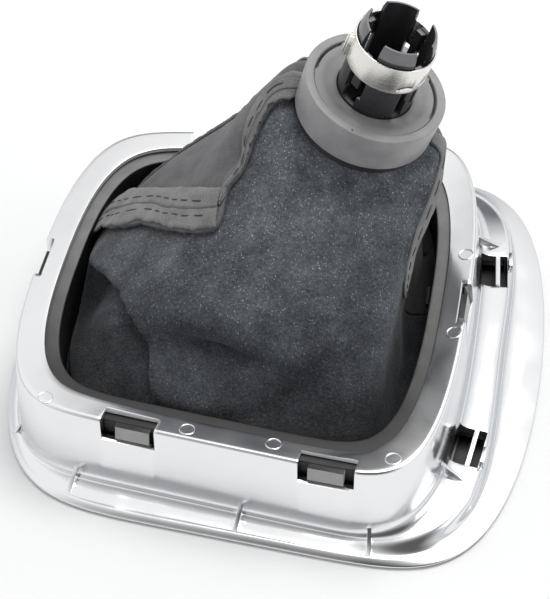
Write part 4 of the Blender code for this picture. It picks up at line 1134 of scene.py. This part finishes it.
def flare_spot(angle):
    """Radius and drop, round the knob's axis, where the gaiter turns in under the collar."""
    radius = NECK_FLARE_RADIUS
    drop = COLLAR_HEIGHT + NECK_FLARE_DROP
    for at, reach, extra, rise in NECK_PUFFS:
        turn = (angle - at + 180.0) % 360.0 - 180.0
        share = exp(-((turn / reach) ** 2))
        radius += extra * share
        drop -= rise * share
    return radius, drop


def crease_depth(angle, share):
    """Step of the crease on the left bulge: raised on the panel's side, sunk below it."""
    best = None
    spots = [(at * CREASE_MM_PER_DEGREE, height * CREASE_MM_PER_SHARE) for at, height in CREASE]
    x, y = angle * CREASE_MM_PER_DEGREE, share * CREASE_MM_PER_SHARE
    for index, ((ax, ay), (bx, by)) in enumerate(zip(spots, spots[1:])):
        dx, dy = bx - ax, by - ay
        long = dx * dx + dy * dy
        at = min(1.0, max(0.0, ((x - ax) * dx + (y - ay) * dy) / long))
        away = hypot(x - ax - dx * at, y - ay - dy * at)
        side = dx * (y - ay) - dy * (x - ax)
        if best is None or away < best[0]:
            best = (away, side, (index + at) / (len(spots) - 1))
    away, side, at = best
    window = ease(at, *CREASE_STARTS) * (1 - ease(at, *CREASE_ENDS))
    signed = away / 1000.0 * (1 if side > 0 else -1)
    above = CREASE_LIFT * exp(-(max(0.0, signed) / CREASE_LIFT_REACH) ** 2)
    below = -CREASE_DIP * exp(-(min(0.0, signed) / CREASE_DIP_REACH) ** 2)
    step = ease(signed, -CREASE_SOFTNESS, CREASE_SOFTNESS)
    return window * (below + (above - below) * step)


def hem_edge(angle, inset):
    """A point of the frame's inner outline, moved in by an inset, at the hem's height."""
    return ring_point(angle, RING_WIDTH + FRAME_RIM + inset, HEM_Z)


GAITER_GRID = {}


def gaiter_grid():
    """The gaiter's inner face: rows of points from the hem to the tucked neck, and their normals."""
    if GAITER_GRID:
        return GAITER_GRID["points"], GAITER_GRID["normals"]
    limits = {}
    for name, inset in (("wall", SEAM_SUEDE + SOFT_CLEARANCE), ("hem", HEM_WIDTH + SOFT_CLEARANCE)):
        limits[name] = []
        for step in range(ANGLE_STEPS):
            edge = hem_edge(360.0 * step / ANGLE_STEPS, inset)
            limits[name].append(hypot(edge.x - RING_CENTRE_X, edge.y))
    rows = []
    for level in range(SHARE_STEPS + 1):
        share = LAST_SHARE * level / SHARE_STEPS
        row = []
        for step in range(ANGLE_STEPS):
            angle = 360.0 * step / ANGLE_STEPS
            radius, drop = flare_spot(angle)
            if share > 1.0:
                at = (share - 1.0) / (LAST_SHARE - 1.0)
                corners = [
                    knob_point(angle, radius, -drop),
                    knob_point(angle, NECK_FOOT_RADIUS - NECK_TUCK, -COLLAR_HEIGHT - NECK_FOOT_DROP),
                    knob_point(angle, NECK_INNER_RADIUS, -COLLAR_HEIGHT - NECK_INNER_DROP),
                ]
                row.append(corners[0].lerp(corners[1], at).lerp(corners[1].lerp(corners[2], at), at))
                continue
            base = hem_edge(angle, HEM_WIDTH + SOFT_CLEARANCE)
            place = base.lerp(knob_point(angle, radius, -drop), share)
            outward = Vector((cos(radians(angle)), sin(radians(angle)), 0.0))
            swell = billow(angle) * sin(pi * sqrt(share)) + fold_depth(angle, share) * ease(share, 0.0, 0.03)
            if 0.02 < share:
                swell += crease_depth(angle, share) * ease(share, 0.02, 0.08)
            place += outward * swell
            if place.z < FRAME_TOP + RIM_ROOM:
                name = "hem" if place.z < HEM_Z + HEM_ROOM else "wall"
                flat = Vector((place.x - RING_CENTRE_X, place.y, 0.0))
                lean = 1 + RING_TAPER * flat.x / (RING_HALF_LENGTH - RING_WIDTH - FRAME_RIM)
                turn = atan2(flat.y / lean, flat.x) * 180.0 / pi % 360.0 * ANGLE_STEPS / 360.0
                one = limits[name][int(turn) % ANGLE_STEPS]
                other = limits[name][(int(turn) + 1) % ANGLE_STEPS]
                limit = one + (other - one) * (turn - int(turn))
                if flat.length > limit:
                    flat *= limit / flat.length
                    place = Vector((RING_CENTRE_X + flat.x, flat.y, place.z))
            row.append(place)
        rows.append(row)
    low, high = (SHARE_STEPS * share / LAST_SHARE for share in NECK_SMOOTHED)
    near_neck = [level for level in range(2, SHARE_STEPS - 1) if low < level < high]
    for _ in range(NECK_SMOOTHINGS):
        for level in near_neck:
            rows[level] = [
                (here * 2 + below + above) / 4
                for here, below, above in zip(rows[level], rows[level - 1], rows[level + 1])
            ]

    def normals_of(grid):
        made = []
        for level in range(SHARE_STEPS + 1):
            low, high = grid[max(0, level - 1)], grid[min(SHARE_STEPS, level + 1)]
            row = grid[level]
            made.append([
                (row[(step + 1) % ANGLE_STEPS] - row[step - 1]).cross(high[step] - low[step]).normalized()
                for step in range(ANGLE_STEPS)
            ])
        return made

    normals = normals_of(rows)
    for level, row in enumerate(rows):
        share = LAST_SHARE * level / SHARE_STEPS
        amount = ease(share, *LUMPS_START) * (1 - ease(share, *LUMPS_END))
        for step, place in enumerate(row):
            lump = 0.0
            for size, height in LUMPS:
                lump += height * noise.noise(place / size)
            row[step] = place + normals[level][step] * lump * amount
    GAITER_GRID["points"] = rows
    GAITER_GRID["normals"] = normals_of(rows)
    return GAITER_GRID["points"], GAITER_GRID["normals"]


def surface(angle, share, lift=0.0):
    """A point of the gaiter at an angle and a height share, lifted off its inner face."""
    points, normals = gaiter_grid()
    across = angle % 360.0 * ANGLE_STEPS / 360.0
    up = min(SHARE_STEPS - 0.001, max(0.0, share / LAST_SHARE * SHARE_STEPS))
    column, level = int(across), int(up)
    here, next_one = column % ANGLE_STEPS, (column + 1) % ANGLE_STEPS
    side, rise = across - column, up - level
    found = []
    for grid in (points, normals):
        low = grid[level][here].lerp(grid[level][next_one], side)
        high = grid[level + 1][here].lerp(grid[level + 1][next_one], side)
        found.append(low.lerp(high, rise))
    return found[0] + found[1].normalized() * lift


def strip_point(edges, at, across, lift=0.0):
    """A point of a seam strip: at a share along it and across it, from its sewn edge to its raw edge."""
    spots = []
    for edge in edges:
        angle = smooth_course([(along, turn) for along, turn, _ in edge], at)
        share = smooth_course([(along, height) for along, _, height in edge], at)
        spots.append(Vector((angle, share)))
    spot = spots[0].lerp(spots[1], across)
    return surface(spot.x, spot.y, lift)


def strip_length(edges, across=0.5):
    """Length of a seam strip along one of its lines."""
    steps = STRIP_LENGTH_STEPS
    spots = [strip_point(edges, step / steps, across) for step in range(steps + 1)]
    return sum((here - there).length for here, there in zip(spots, spots[1:]))


def ribbon(name, edges, sides, lift, look, parent_list, fray):
    """A raw-edged strip of a seam between two places across it, with wavy edges."""
    steps = int(strip_length(edges) / STRIP_STEP)
    wide = (strip_point(edges, 0.5, 1.0) - strip_point(edges, 0.5, 0.0)).length
    rows = []
    for step in range(steps + 1):
        at = step / steps
        ends = []
        for side, (across, rough) in enumerate(zip(sides, fray)):
            wave = noise.noise(Vector((step * 0.23, side * 9.0, sides[0] * 50)))
            fine = noise.noise(Vector((step * 0.8, side * 5.0, 7.0)))
            ends.append(across + rough / wide * (1.4 * wave + 0.8 * fine))
        row = []
        for part in range(RIBBON_COLUMNS + 1):
            share = part / RIBBON_COLUMNS
            across = ends[0] + (ends[1] - ends[0]) * share
            rise = lift(share) if callable(lift) else lift
            rise += STRIP_WAVE * noise.noise(Vector((step * 0.17, part * 0.9, 3.0 + sides[0])))
            row.append(strip_point(edges, at, across, rise))
        rows.append(row)
    made = piece(name, mesh_from(name, rows), look, angle=70.0)
    thicken(made, STRIP_THICKNESS)
    parent_list.append(made)


def thicken(made, thickness):
    """Thicken a sheet of the gaiter, away from the middle of the space inside it."""
    faces = made.data.polygons
    centre = sum((face.center for face in faces), Vector()) / len(faces)
    middle = Vector((*GAITER_MIDDLE, centre.z))
    total = sum(face.normal.dot(face.center - middle) for face in faces)
    solid = made.modifiers.new("thickness", "SOLIDIFY")
    solid.thickness = thickness
    solid.offset = 1.0 if total > 0 else -1.0
    apply_modifiers(made)


def thread(work, path, radius):
    """Add a thread along a path to a bmesh, tapered at both ends."""
    sides = THREAD_SIDES
    rows = []
    for index, spot in enumerate(path):
        ahead = (path[min(index + 1, len(path) - 1)] - path[max(index - 1, 0)]).normalized()
        across = ahead.orthogonal().normalized()
        other = ahead.cross(across)
        thin = 0.35 if index in (0, len(path) - 1) else 1.0
        rows.append([
            work.verts.new(spot + (across * cos(turn) + other * sin(turn)) * radius * thin)
            for turn in (2 * pi * side / sides for side in range(sides))
        ])
    for low, high in zip(rows, rows[1:]):
        for side in range(sides):
            after = (side + 1) % sides
            work.faces.new((low[side], low[after], high[after], high[side]))
    work.faces.new(rows[0][::-1])
    work.faces.new(rows[-1])


def stitch_row(work, edges, across, lift, sizes, first, last):
    """Add a row of stitches along a line of a seam strip to a bmesh."""
    length = strip_length(edges, across)
    pitch = (sizes.stitch_length + sizes.stitch_gap) / length
    long = sizes.stitch_length / length
    at = first
    while at + long <= last:
        path = []
        for step in range(STITCH_STEPS + 1):
            share = step / STITCH_STEPS
            sink = STITCH_SINK * (1 - sin(pi * share) ** 0.4)
            path.append(strip_point(edges, at + long * share, across, lift + 0.00006 - sink))
        thread(work, path, STITCH_RADIUS)
        at += pitch


def straight_edges(angle, reach, first, last):
    """The two edges of a strip that runs straight up the gaiter at an angle."""
    return [[(0.0, angle + side * reach, first), (1.0, angle + side * reach, last)] for side in (-1, 1)]


def finish_threads(name, work, look, parent_list):
    """Make a piece from a bmesh of threads."""
    parent_list.append(piece(name, mesh_of(name, work, outward=True), look, angle=80.0))


def panel(name, node, left, right, columns, look, thickness, lift=None):
    """One sewn panel between two seam courses; a lift raises it near its right edge."""
    first, last = left(0.0), right(0.0)
    rows = [[
        hem_edge(first + (last - first) * step / columns, SOFT_CLEARANCE) for step in range(columns + 1)
    ]]
    for level in range(PANEL_ROWS + 1):
        share = LAST_SHARE * level / PANEL_ROWS
        start, end = left(min(1.0, share)), right(min(1.0, share))
        row = []
        for step in range(columns + 1):
            at = step / columns
            rise = lift(share, (1 - at) * (end - start)) if lift else 0.0
            row.append(surface(start + (end - start) * at, share, rise))
        rows.append(row)
    made = piece(name, mesh_from(name, rows), look, [node], angle=70.0)
    thicken(made, thickness)
    return made


class OBJECT_OT_gear_gaiter(bpy.types.Operator):
    """Build the gaiter's four panels with their raw seams and stitches."""

    bl_idname = "object.gear_gaiter"
    bl_label = "Gaiter"

    def execute(self, context):
        """Lay the panels on the gaiter's surface, then the seam strips and the threads."""
        sizes = context.scene.gear_gaiter
        suede = napped_suede("napped_microfibre_suede", sizes.suede)
        # The knitted panels get painted shade towards the hem; the seam strips and the thread do not
        knit = knitted_backing("knitted_polyester_backing", sizes.knit, low_shade=0.30)
        strip = knitted_backing("doubled_seam_allowance", sizes.strip)
        sewing = knitted_backing("spun_polyester_thread", sizes.thread)

        def left_seam(share):
            return smooth_course(LEFT_SEAM, share)

        def right_seam(share):
            return smooth_course(RIGHT_SEAM, share)

        def left_edge(share):
            """The left panel's raw edge, which laps over the front panel."""
            wave = noise.noise(Vector((share * 34.0, 0.0, 4.0))) * 0.9
            wave += noise.noise(Vector((share * 90.0, 2.0, 4.0))) * 0.5
            return left_seam(share) + LEFT_LAP + wave * ease(share, 0.1, 0.2)

        def left_lift(share, near_edge):
            along = ease(share, 0.03, 0.12) * (1 - ease(share, 0.97, 1.02))
            return LAP_LIFT * (1 - ease(near_edge, 2.0, 11.0)) * along

        def front_lift(share, near_edge):
            return FRONT_LAP_LIFT * (1 - ease(near_edge, 0.0, 4.0)) * ease(share, 0.05, 0.2)

        panels = {
            "left": panel(
                "left_backing", "gaiter_left_panel", lambda share: REAR_LEFT_SEAM + SEAM_GAP, left_edge,
                70, knit, sizes.thickness, left_lift,
            ),
            "front": panel(
                "front_suede", "gaiter_front_panel", lambda share: left_seam(share) - FRONT_UNDERLAP,
                lambda share: right_seam(share) - SEAM_GAP, 190, suede, sizes.thickness, front_lift,
            ),
            "right": panel(
                "right_backing", "gaiter_right_panel", lambda share: right_seam(share) + SEAM_GAP,
                lambda share: REAR_RIGHT_SEAM - SEAM_GAP, 70, knit, sizes.thickness,
            ),
            "rear": panel(
                "rear_suede", "gaiter_rear_panel", lambda share: REAR_RIGHT_SEAM + SEAM_GAP,
                lambda share: REAR_LEFT_SEAM + 360.0 - SEAM_GAP, 90, suede, sizes.thickness,
            ),
        }

        trims = {side: [] for side in panels}
        top = LAP_LIFT + sizes.thickness

        def rising(share):
            """A fold's lift: it lies flat on the panel and stands up towards its raw edge."""
            return top - FOLD_SINK * (1 - ease(share, 0.0, 0.5))

        for name, edges, sides, lift, fray in LEFT_LAYERS:
            ribbon(name, edges, sides, rising if lift is None else top + lift, strip, trims["left"], fray)
        work = bmesh.new()
        for edges, across, lift, first, last in LEFT_STITCHES:
            stitch_row(work, edges, across, top + lift, sizes, first, last)
        finish_threads("left_stitches", work, sewing, trims["left"])

        flat = sizes.thickness + 0.0001
        ribbon("right_strip", RIGHT_STRIP, (0.0, 1.0), flat, strip, trims["right"], (0.0001, 0.0005))
        work = bmesh.new()
        stitch_row(work, RIGHT_STRIP, 0.45, flat + STITCH_LIFT, sizes, 0.03, 0.97)
        finish_threads("right_stitches", work, sewing, trims["right"])
        for side, name, angle, lowest in REAR_STRIPS:
            edges = straight_edges(angle, REAR_STRIP_REACH, lowest, STRIP_TOP_SHARE)
            ribbon(f"{name}_strip", edges, (0.0, 1.0), flat, strip, trims[side], (0.0004, 0.0004))
            work = bmesh.new()
            for across in (0.22, 0.78):
                stitch_row(work, edges, across, flat + STITCH_LIFT, sizes, 0.02, 0.98)
            finish_threads(f"{name}_stitches", work, sewing, trims[side])

        staple_wire = rolled_steel("blackened_steel_wire", linear("#2C2C2C"))
        for name in sorted(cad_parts):
            if name.startswith("hem_staple"):
                dress(name, staple_wire)
        return {"FINISHED"}


class OBJECT_OT_gear_collar(bpy.types.Operator):
    """Build the collar with its rim, skirt, dished plate and tie."""

    bl_idname = "object.gear_collar"
    bl_label = "Collar"

    def execute(self, context):
        """Turn the ring and the plate, with the plate's clearance arcs left open."""
        sizes = context.scene.gear_knob
        look = moulded_plastic("moulded_acetal_grey", sizes.collar, 0.38, grain=0.5, depth=0.00002)
        plate_look = moulded_plastic(
            "moulded_acetal_plate", shade(sizes.collar, 0.86), 0.5, grain=0.5, depth=0.00002,
        )
        rim = COLLAR_TOP_RADIUS - COLLAR_RIM
        inner = COLLAR_FOOT_RADIUS - COLLAR_WALL
        shelf = COLLAR_SHELF + COLLAR_SHELF_THICKNESS
        bore = COLLAR_SKIRT_RADIUS - COLLAR_SKIRT_WALL
        ring = [
            (COLLAR_TOP_RADIUS, 0.0), (COLLAR_FOOT_RADIUS, -COLLAR_HEIGHT), (inner, -COLLAR_HEIGHT),
            (inner, -shelf), (COLLAR_SKIRT_RADIUS, -shelf), (COLLAR_SKIRT_RADIUS, -COLLAR_SKIRT_DROP),
            (bore, -COLLAR_SKIRT_DROP), (bore, -COLLAR_SHELF), (rim, -COLLAR_SHELF), (rim, 0.0),
        ]
        radii = (0.0007, 0.0009, 0.0003, 0.0, 0.0, 0.0004, 0.0003, 0.0, 0.0, 0.0006)
        piece("collar", turned("collar", ring, radii, sizes.round_steps), look, ["collar_ring"])

        def plate(angle):
            """The plate's section: it meets the rim except along the two clearance arcs."""
            gap = PLATE_GAP
            for start, end in PLATE_ARCS:
                turn = (angle - start) % 360.0
                if turn <= end - start:
                    near = min(turn, end - start - turn)
                    gap = PLATE_GAP + PLATE_ARC_GAP * ease(near, 0.0, PLATE_ARC_EASE)
            outer = rim - gap
            hole = SLEEVE_RADIUS + SLEEVE_FIT
            under = COLLAR_SHELF - 0.0003
            return [
                (rim - 0.0026, -0.0005), (outer, -0.0004), (outer, -under), (hole, -under),
                (hole, -0.0014), ((hole + rim) / 2 - 0.0010, -0.0012),
            ]

        mesh = turned("dished_plate", plate, (0.0010, 0.0002, 0.0, 0.0, 0.0003, 0.0016), 2 * sizes.round_steps)
        piece("dished_plate", mesh, plate_look, ["collar_plate"])
        dark = moulded_plastic("moulded_abs_gate_mark", linear("#232323"), 0.5)
        work = bmesh.new()
        place = place_on_knob(GATE_MARK_TURN, COLLAR_TOP_RADIUS - 0.0010, -0.0001)
        bmesh.ops.create_uvsphere(
            work, u_segments=12, v_segments=8, radius=GATE_MARK_RADIUS,
            matrix=place @ Matrix.Diagonal((1, 1, 0.35, 1)),
        )
        piece("gate_mark", mesh_of("gate_mark", work), dark)
        dress("gaiter_tie", moulded_plastic("moulded_nylon_tie", linear("#1E1E1F"), 0.5))
        return {"FINISHED"}


class OBJECT_OT_gear_sleeve(bpy.types.Operator):
    """Build the slotted sleeve, its steel band with the folded ear, and the bush."""

    bl_idname = "object.gear_sleeve"
    bl_label = "Sleeve and Band"

    def execute(self, context):
        """Turn the sleeve, cut it into fingers and tongues, and wrap the band round it."""
        sizes = context.scene.gear_knob
        painted_light_nylon = moulded_plastic("moulded_nylon_sleeve_painted_light", linear("#7C7C7E"), 0.34, grain=0.6, depth=0.00003)
        inside = moulded_plastic("moulded_nylon_bore", sizes.sleeve, 0.3, grain=0.6, depth=0.00003)
        start = SLEEVE_HEIGHT - SLEEVE_TIP_LENGTH
        tip_wall = (SLEEVE_TIP_RADIUS - SLEEVE_BORE) / 2
        profile = [
            (SLEEVE_BORE, SLEEVE_HEIGHT), (SLEEVE_TIP_RADIUS, SLEEVE_HEIGHT), (SLEEVE_RADIUS, start),
            (SLEEVE_RADIUS, -SLEEVE_DEPTH), (SLEEVE_BORE, -SLEEVE_DEPTH), (SLEEVE_BORE, start + tip_wall),
        ]
        mesh = turned("slotted_sleeve", profile, (0.0002, 0.0003, 0.0010, 0.0, 0.0, 0.0), sizes.round_steps)
        sleeve = piece("slotted_sleeve", mesh, [painted_light_nylon, inside], ["collet_sleeve"])
        cuts = bmesh.new()
        for turn, width, low, high in SLEEVE_CUTS:
            middle = (low + high) / 2
            box_into(cuts, (0.0120, width, high - low), place_on_knob(turn, SLEEVE_RADIUS, middle))
        boolean(sleeve, cuts, "DIFFERENCE")
        soften(sleeve, SLEEVE_EDGE)
        # Painted light: outer faces and tops above the light height take the lighter nylon, the rest keep the sleeve's
        # dark colour
        back = KNOB_MATRIX.inverted()
        for face in sleeve.data.polygons:
            spot = back @ face.center
            normal = back.to_3x3() @ face.normal
            outward = Vector((spot.x, spot.y, 0.0)).normalized()
            is_painted_light = spot.z > SLEEVE_LIGHT_HEIGHT and (normal.dot(outward) > 0.2 or normal.z > 0.5)
            face.material_index = 0 if is_painted_light else 1

        steel = rolled_steel("rolled_stainless_band", sizes.steel)
        inner = SLEEVE_RADIUS + SLEEVE_FIT
        outer = inner + sizes.band_thickness
        top = BAND_START + BAND_WIDTH
        ring = [(inner, top), (outer, top), (outer, BAND_START), (inner, BAND_START)]
        mesh = turned("steel_band", ring, (0.0002, 0.0002, 0.0002, 0.0002), sizes.round_steps)
        band = piece("steel_band", mesh, steel, ["clamp_band"])
        cuts = bmesh.new()
        for turn, wide, height, tall in BAND_SLITS:
            for part in range(BAND_SLIT_STEPS + 1):
                at = part / BAND_SLIT_STEPS - 0.5
                bow = BAND_SLIT_BOW * (1 - 4 * at * at)
                place = place_on_knob(turn + wide / outer * 57.3 * at, outer, height + bow)
                box_into(cuts, (0.004, wide / 5.2, tall), place)
        boolean(band, cuts, "DIFFERENCE")
        ear = bmesh.new()
        for shift, reach in BAND_EAR_LEAVES:
            long = reach + BAND_EAR_SINK
            place = place_on_knob(BAND_EAR_TURN, outer - BAND_EAR_SINK + long / 2, BAND_START + BAND_WIDTH / 2)
            box_into(ear, (long, *BAND_EAR_SIZE), place @ Matrix.Translation((0, shift, 0)))
        boolean(band, ear, "UNION")
        soften(band, BAND_EDGE)
        dress("lever_bush", moulded_plastic("moulded_rubber_bush", linear("#1D1D1D"), 0.75))
        return {"FINISHED"}


class OBJECT_OT_gear_knob(bpy.types.Operator):
    """Finish the knob that hangs inside the gaiter."""

    bl_idname = "object.gear_knob"
    bl_label = "Knob"

    def execute(self, context):
        """Give the core, the grip, the trim ring, the cap and the disc their materials."""
        leather = grained_leather("grained_leather", linear("#2B2A2A"))
        dress("knob_core", moulded_plastic("moulded_abs_core", linear("#1E1E1F"), 0.5))
        dress("grip_wrap_left", leather)
        dress("grip_wrap_right", leather)
        dress("trim_ring", chrome_plated_abs("chrome_plated_trim", linear("#E2E3E5")))
        dress("cap", moulded_plastic("moulded_acrylic_gloss_cap", linear("#141415"), 0.12, ior=1.49))
        dress("pattern_disc", moulded_plastic("moulded_satin_disc", linear("#A9AAAB"), 0.35))
        return {"FINISHED"}


class OBJECT_OT_gear_stage(bpy.types.Operator):
    """Set the pale floor, the soft lights, the world and the camera."""

    bl_idname = "object.gear_stage"
    bl_label = "Stage"

    def execute(self, context):
        """Make the floor, three soft lights, a bright surround with two unlit parts, and the matched camera."""
        scene = context.scene
        mesh = bpy.data.meshes.new("floor")
        corners = [(x * FLOOR_REACH, y * FLOOR_REACH, 0) for x, y in ((-1, -1), (1, -1), (1, 1), (-1, 1))]
        mesh.from_pydata(corners, [], [(0, 1, 2, 3)])
        floor_piece = bpy.data.objects.new("floor", mesh)
        scene.collection.objects.link(floor_piece)
        made, tree, shader = new_material("matt_white_paper")
        fill(tree, shader, {"Base Color": (0.93, 0.93, 0.93, 1.0), "Roughness": 1.0, "Specular IOR Level": 0.0})
        mesh.materials.append(made)

        world = bpy.data.worlds.new("surround")
        world.use_nodes = True
        tree = world.node_tree
        place = add_node(tree, "ShaderNodeTexCoord").outputs["Generated"]
        split = add_node(tree, "ShaderNodeSeparateXYZ", {"Vector": place})
        ramp = add_node(tree, "ShaderNodeValToRGB", {"Fac": split.outputs["Z"]}, stops=SURROUND)
        shown = ramp.outputs["Color"]
        for way, start, full, colour in UNLIT_PARTS:
            facing = add_node(tree, "ShaderNodeVectorMath", {0: place, 1: way}, operation="DOT_PRODUCT")
            amount = add_node(tree, "ShaderNodeMapRange", {
                "Value": facing.outputs["Value"], **span(start, full, 0.0, 1.0),
            })
            mixed = add_node(tree, "ShaderNodeMix", {
                0: amount.outputs["Result"], 6: shown, 7: colour,
            }, data_type="RGBA")
            shown = mixed.outputs[2]
        back = tree.nodes["Background"]
        fill(tree, back, {"Color": shown, "Strength": 1.0})
        scene.world = world

        for name, place, size, power in SOFTBOXES:
            lamp = bpy.data.lights.new(name, "AREA")
            lamp.shape = "RECTANGLE"
            lamp.size, lamp.size_y = size
            lamp.energy = power
            box_light = bpy.data.objects.new(name, lamp)
            box_light.location = place
            box_light.rotation_euler = (Vector((0, 0, 0.03)) - Vector(place)).to_track_quat("-Z", "Y").to_euler()
            scene.collection.objects.link(box_light)

        az, el, roll = (radians(value) for value in (CAMERA_AZIMUTH, CAMERA_ELEVATION, CAMERA_ROLL))
        back_way = Vector((sin(az) * cos(el), -cos(az) * cos(el), sin(el)))
        right = (-back_way).cross(Vector((0, 0, 1))).normalized()
        up = right.cross(-back_way)
        turned_right = right * cos(roll) + up * sin(roll)
        turned_up = up * cos(roll) - right * sin(roll)
        camera = bpy.data.objects.new("camera", bpy.data.cameras.new("camera"))
        camera.data.lens = CAMERA_LENS
        camera.data.sensor_width = SENSOR_WIDTH
        camera.data.clip_start = 0.01
        turn = Matrix((turned_right, turned_up, back_way)).transposed()
        camera.matrix_world = Matrix.Translation(CAMERA_PLACE) @ turn.to_4x4()
        scene.collection.objects.link(camera)
        scene.camera = camera
        scene.view_settings.view_transform = "Standard"
        return {"FINISHED"}


class VIEW3D_PT_gear_knob(bpy.types.Panel):
    """The sizes and colours, and a button for each group of pieces."""

    bl_label = "Gear Knob"
    bl_idname = "VIEW3D_PT_gear_knob"
    bl_space_type = "VIEW_3D"
    bl_region_type = "UI"
    bl_category = "Gear Knob"

    def draw(self, context):
        """List the settings of each group above its buttons."""
        for settings, operators in (
            ("gear_bezel", ("object.gear_bezel", "object.gear_retainer")),
            ("gear_gaiter", ("object.gear_gaiter",)),
            ("gear_knob", ("object.gear_collar", "object.gear_sleeve", "object.gear_knob")),
        ):
            column = self.layout.column()
            group = getattr(context.scene, settings)
            for name in group.__annotations__:
                column.prop(group, name)
            for operator in operators:
                column.operator(operator)
        self.layout.operator("object.gear_stage")


SETTINGS = {"gear_bezel": BezelSettings, "gear_gaiter": GaiterSettings, "gear_knob": KnobSettings}
CLASSES = (
    BezelSettings, GaiterSettings, KnobSettings, OBJECT_OT_gear_bezel, OBJECT_OT_gear_retainer,
    OBJECT_OT_gear_gaiter, OBJECT_OT_gear_collar, OBJECT_OT_gear_sleeve, OBJECT_OT_gear_knob,
    OBJECT_OT_gear_stage, VIEW3D_PT_gear_knob,
)


def register():
    """Register the classes and hang their settings on the scene."""
    for one in CLASSES:
        bpy.utils.register_class(one)
    for name, group in SETTINGS.items():
        setattr(bpy.types.Scene, name, PointerProperty(type=group))


def unregister():
    """Take the settings and the classes away again."""
    for name in SETTINGS:
        delattr(bpy.types.Scene, name)
    for one in reversed(CLASSES):
        bpy.utils.unregister_class(one)


def main():
    """Build everything."""
    register()
    bpy.ops.object.gear_bezel()
    bpy.ops.object.gear_retainer()
    bpy.ops.object.gear_gaiter()
    bpy.ops.object.gear_collar()
    bpy.ops.object.gear_sleeve()
    bpy.ops.object.gear_knob()
    bpy.ops.object.gear_stage()


if __name__ == "__main__":
    main()
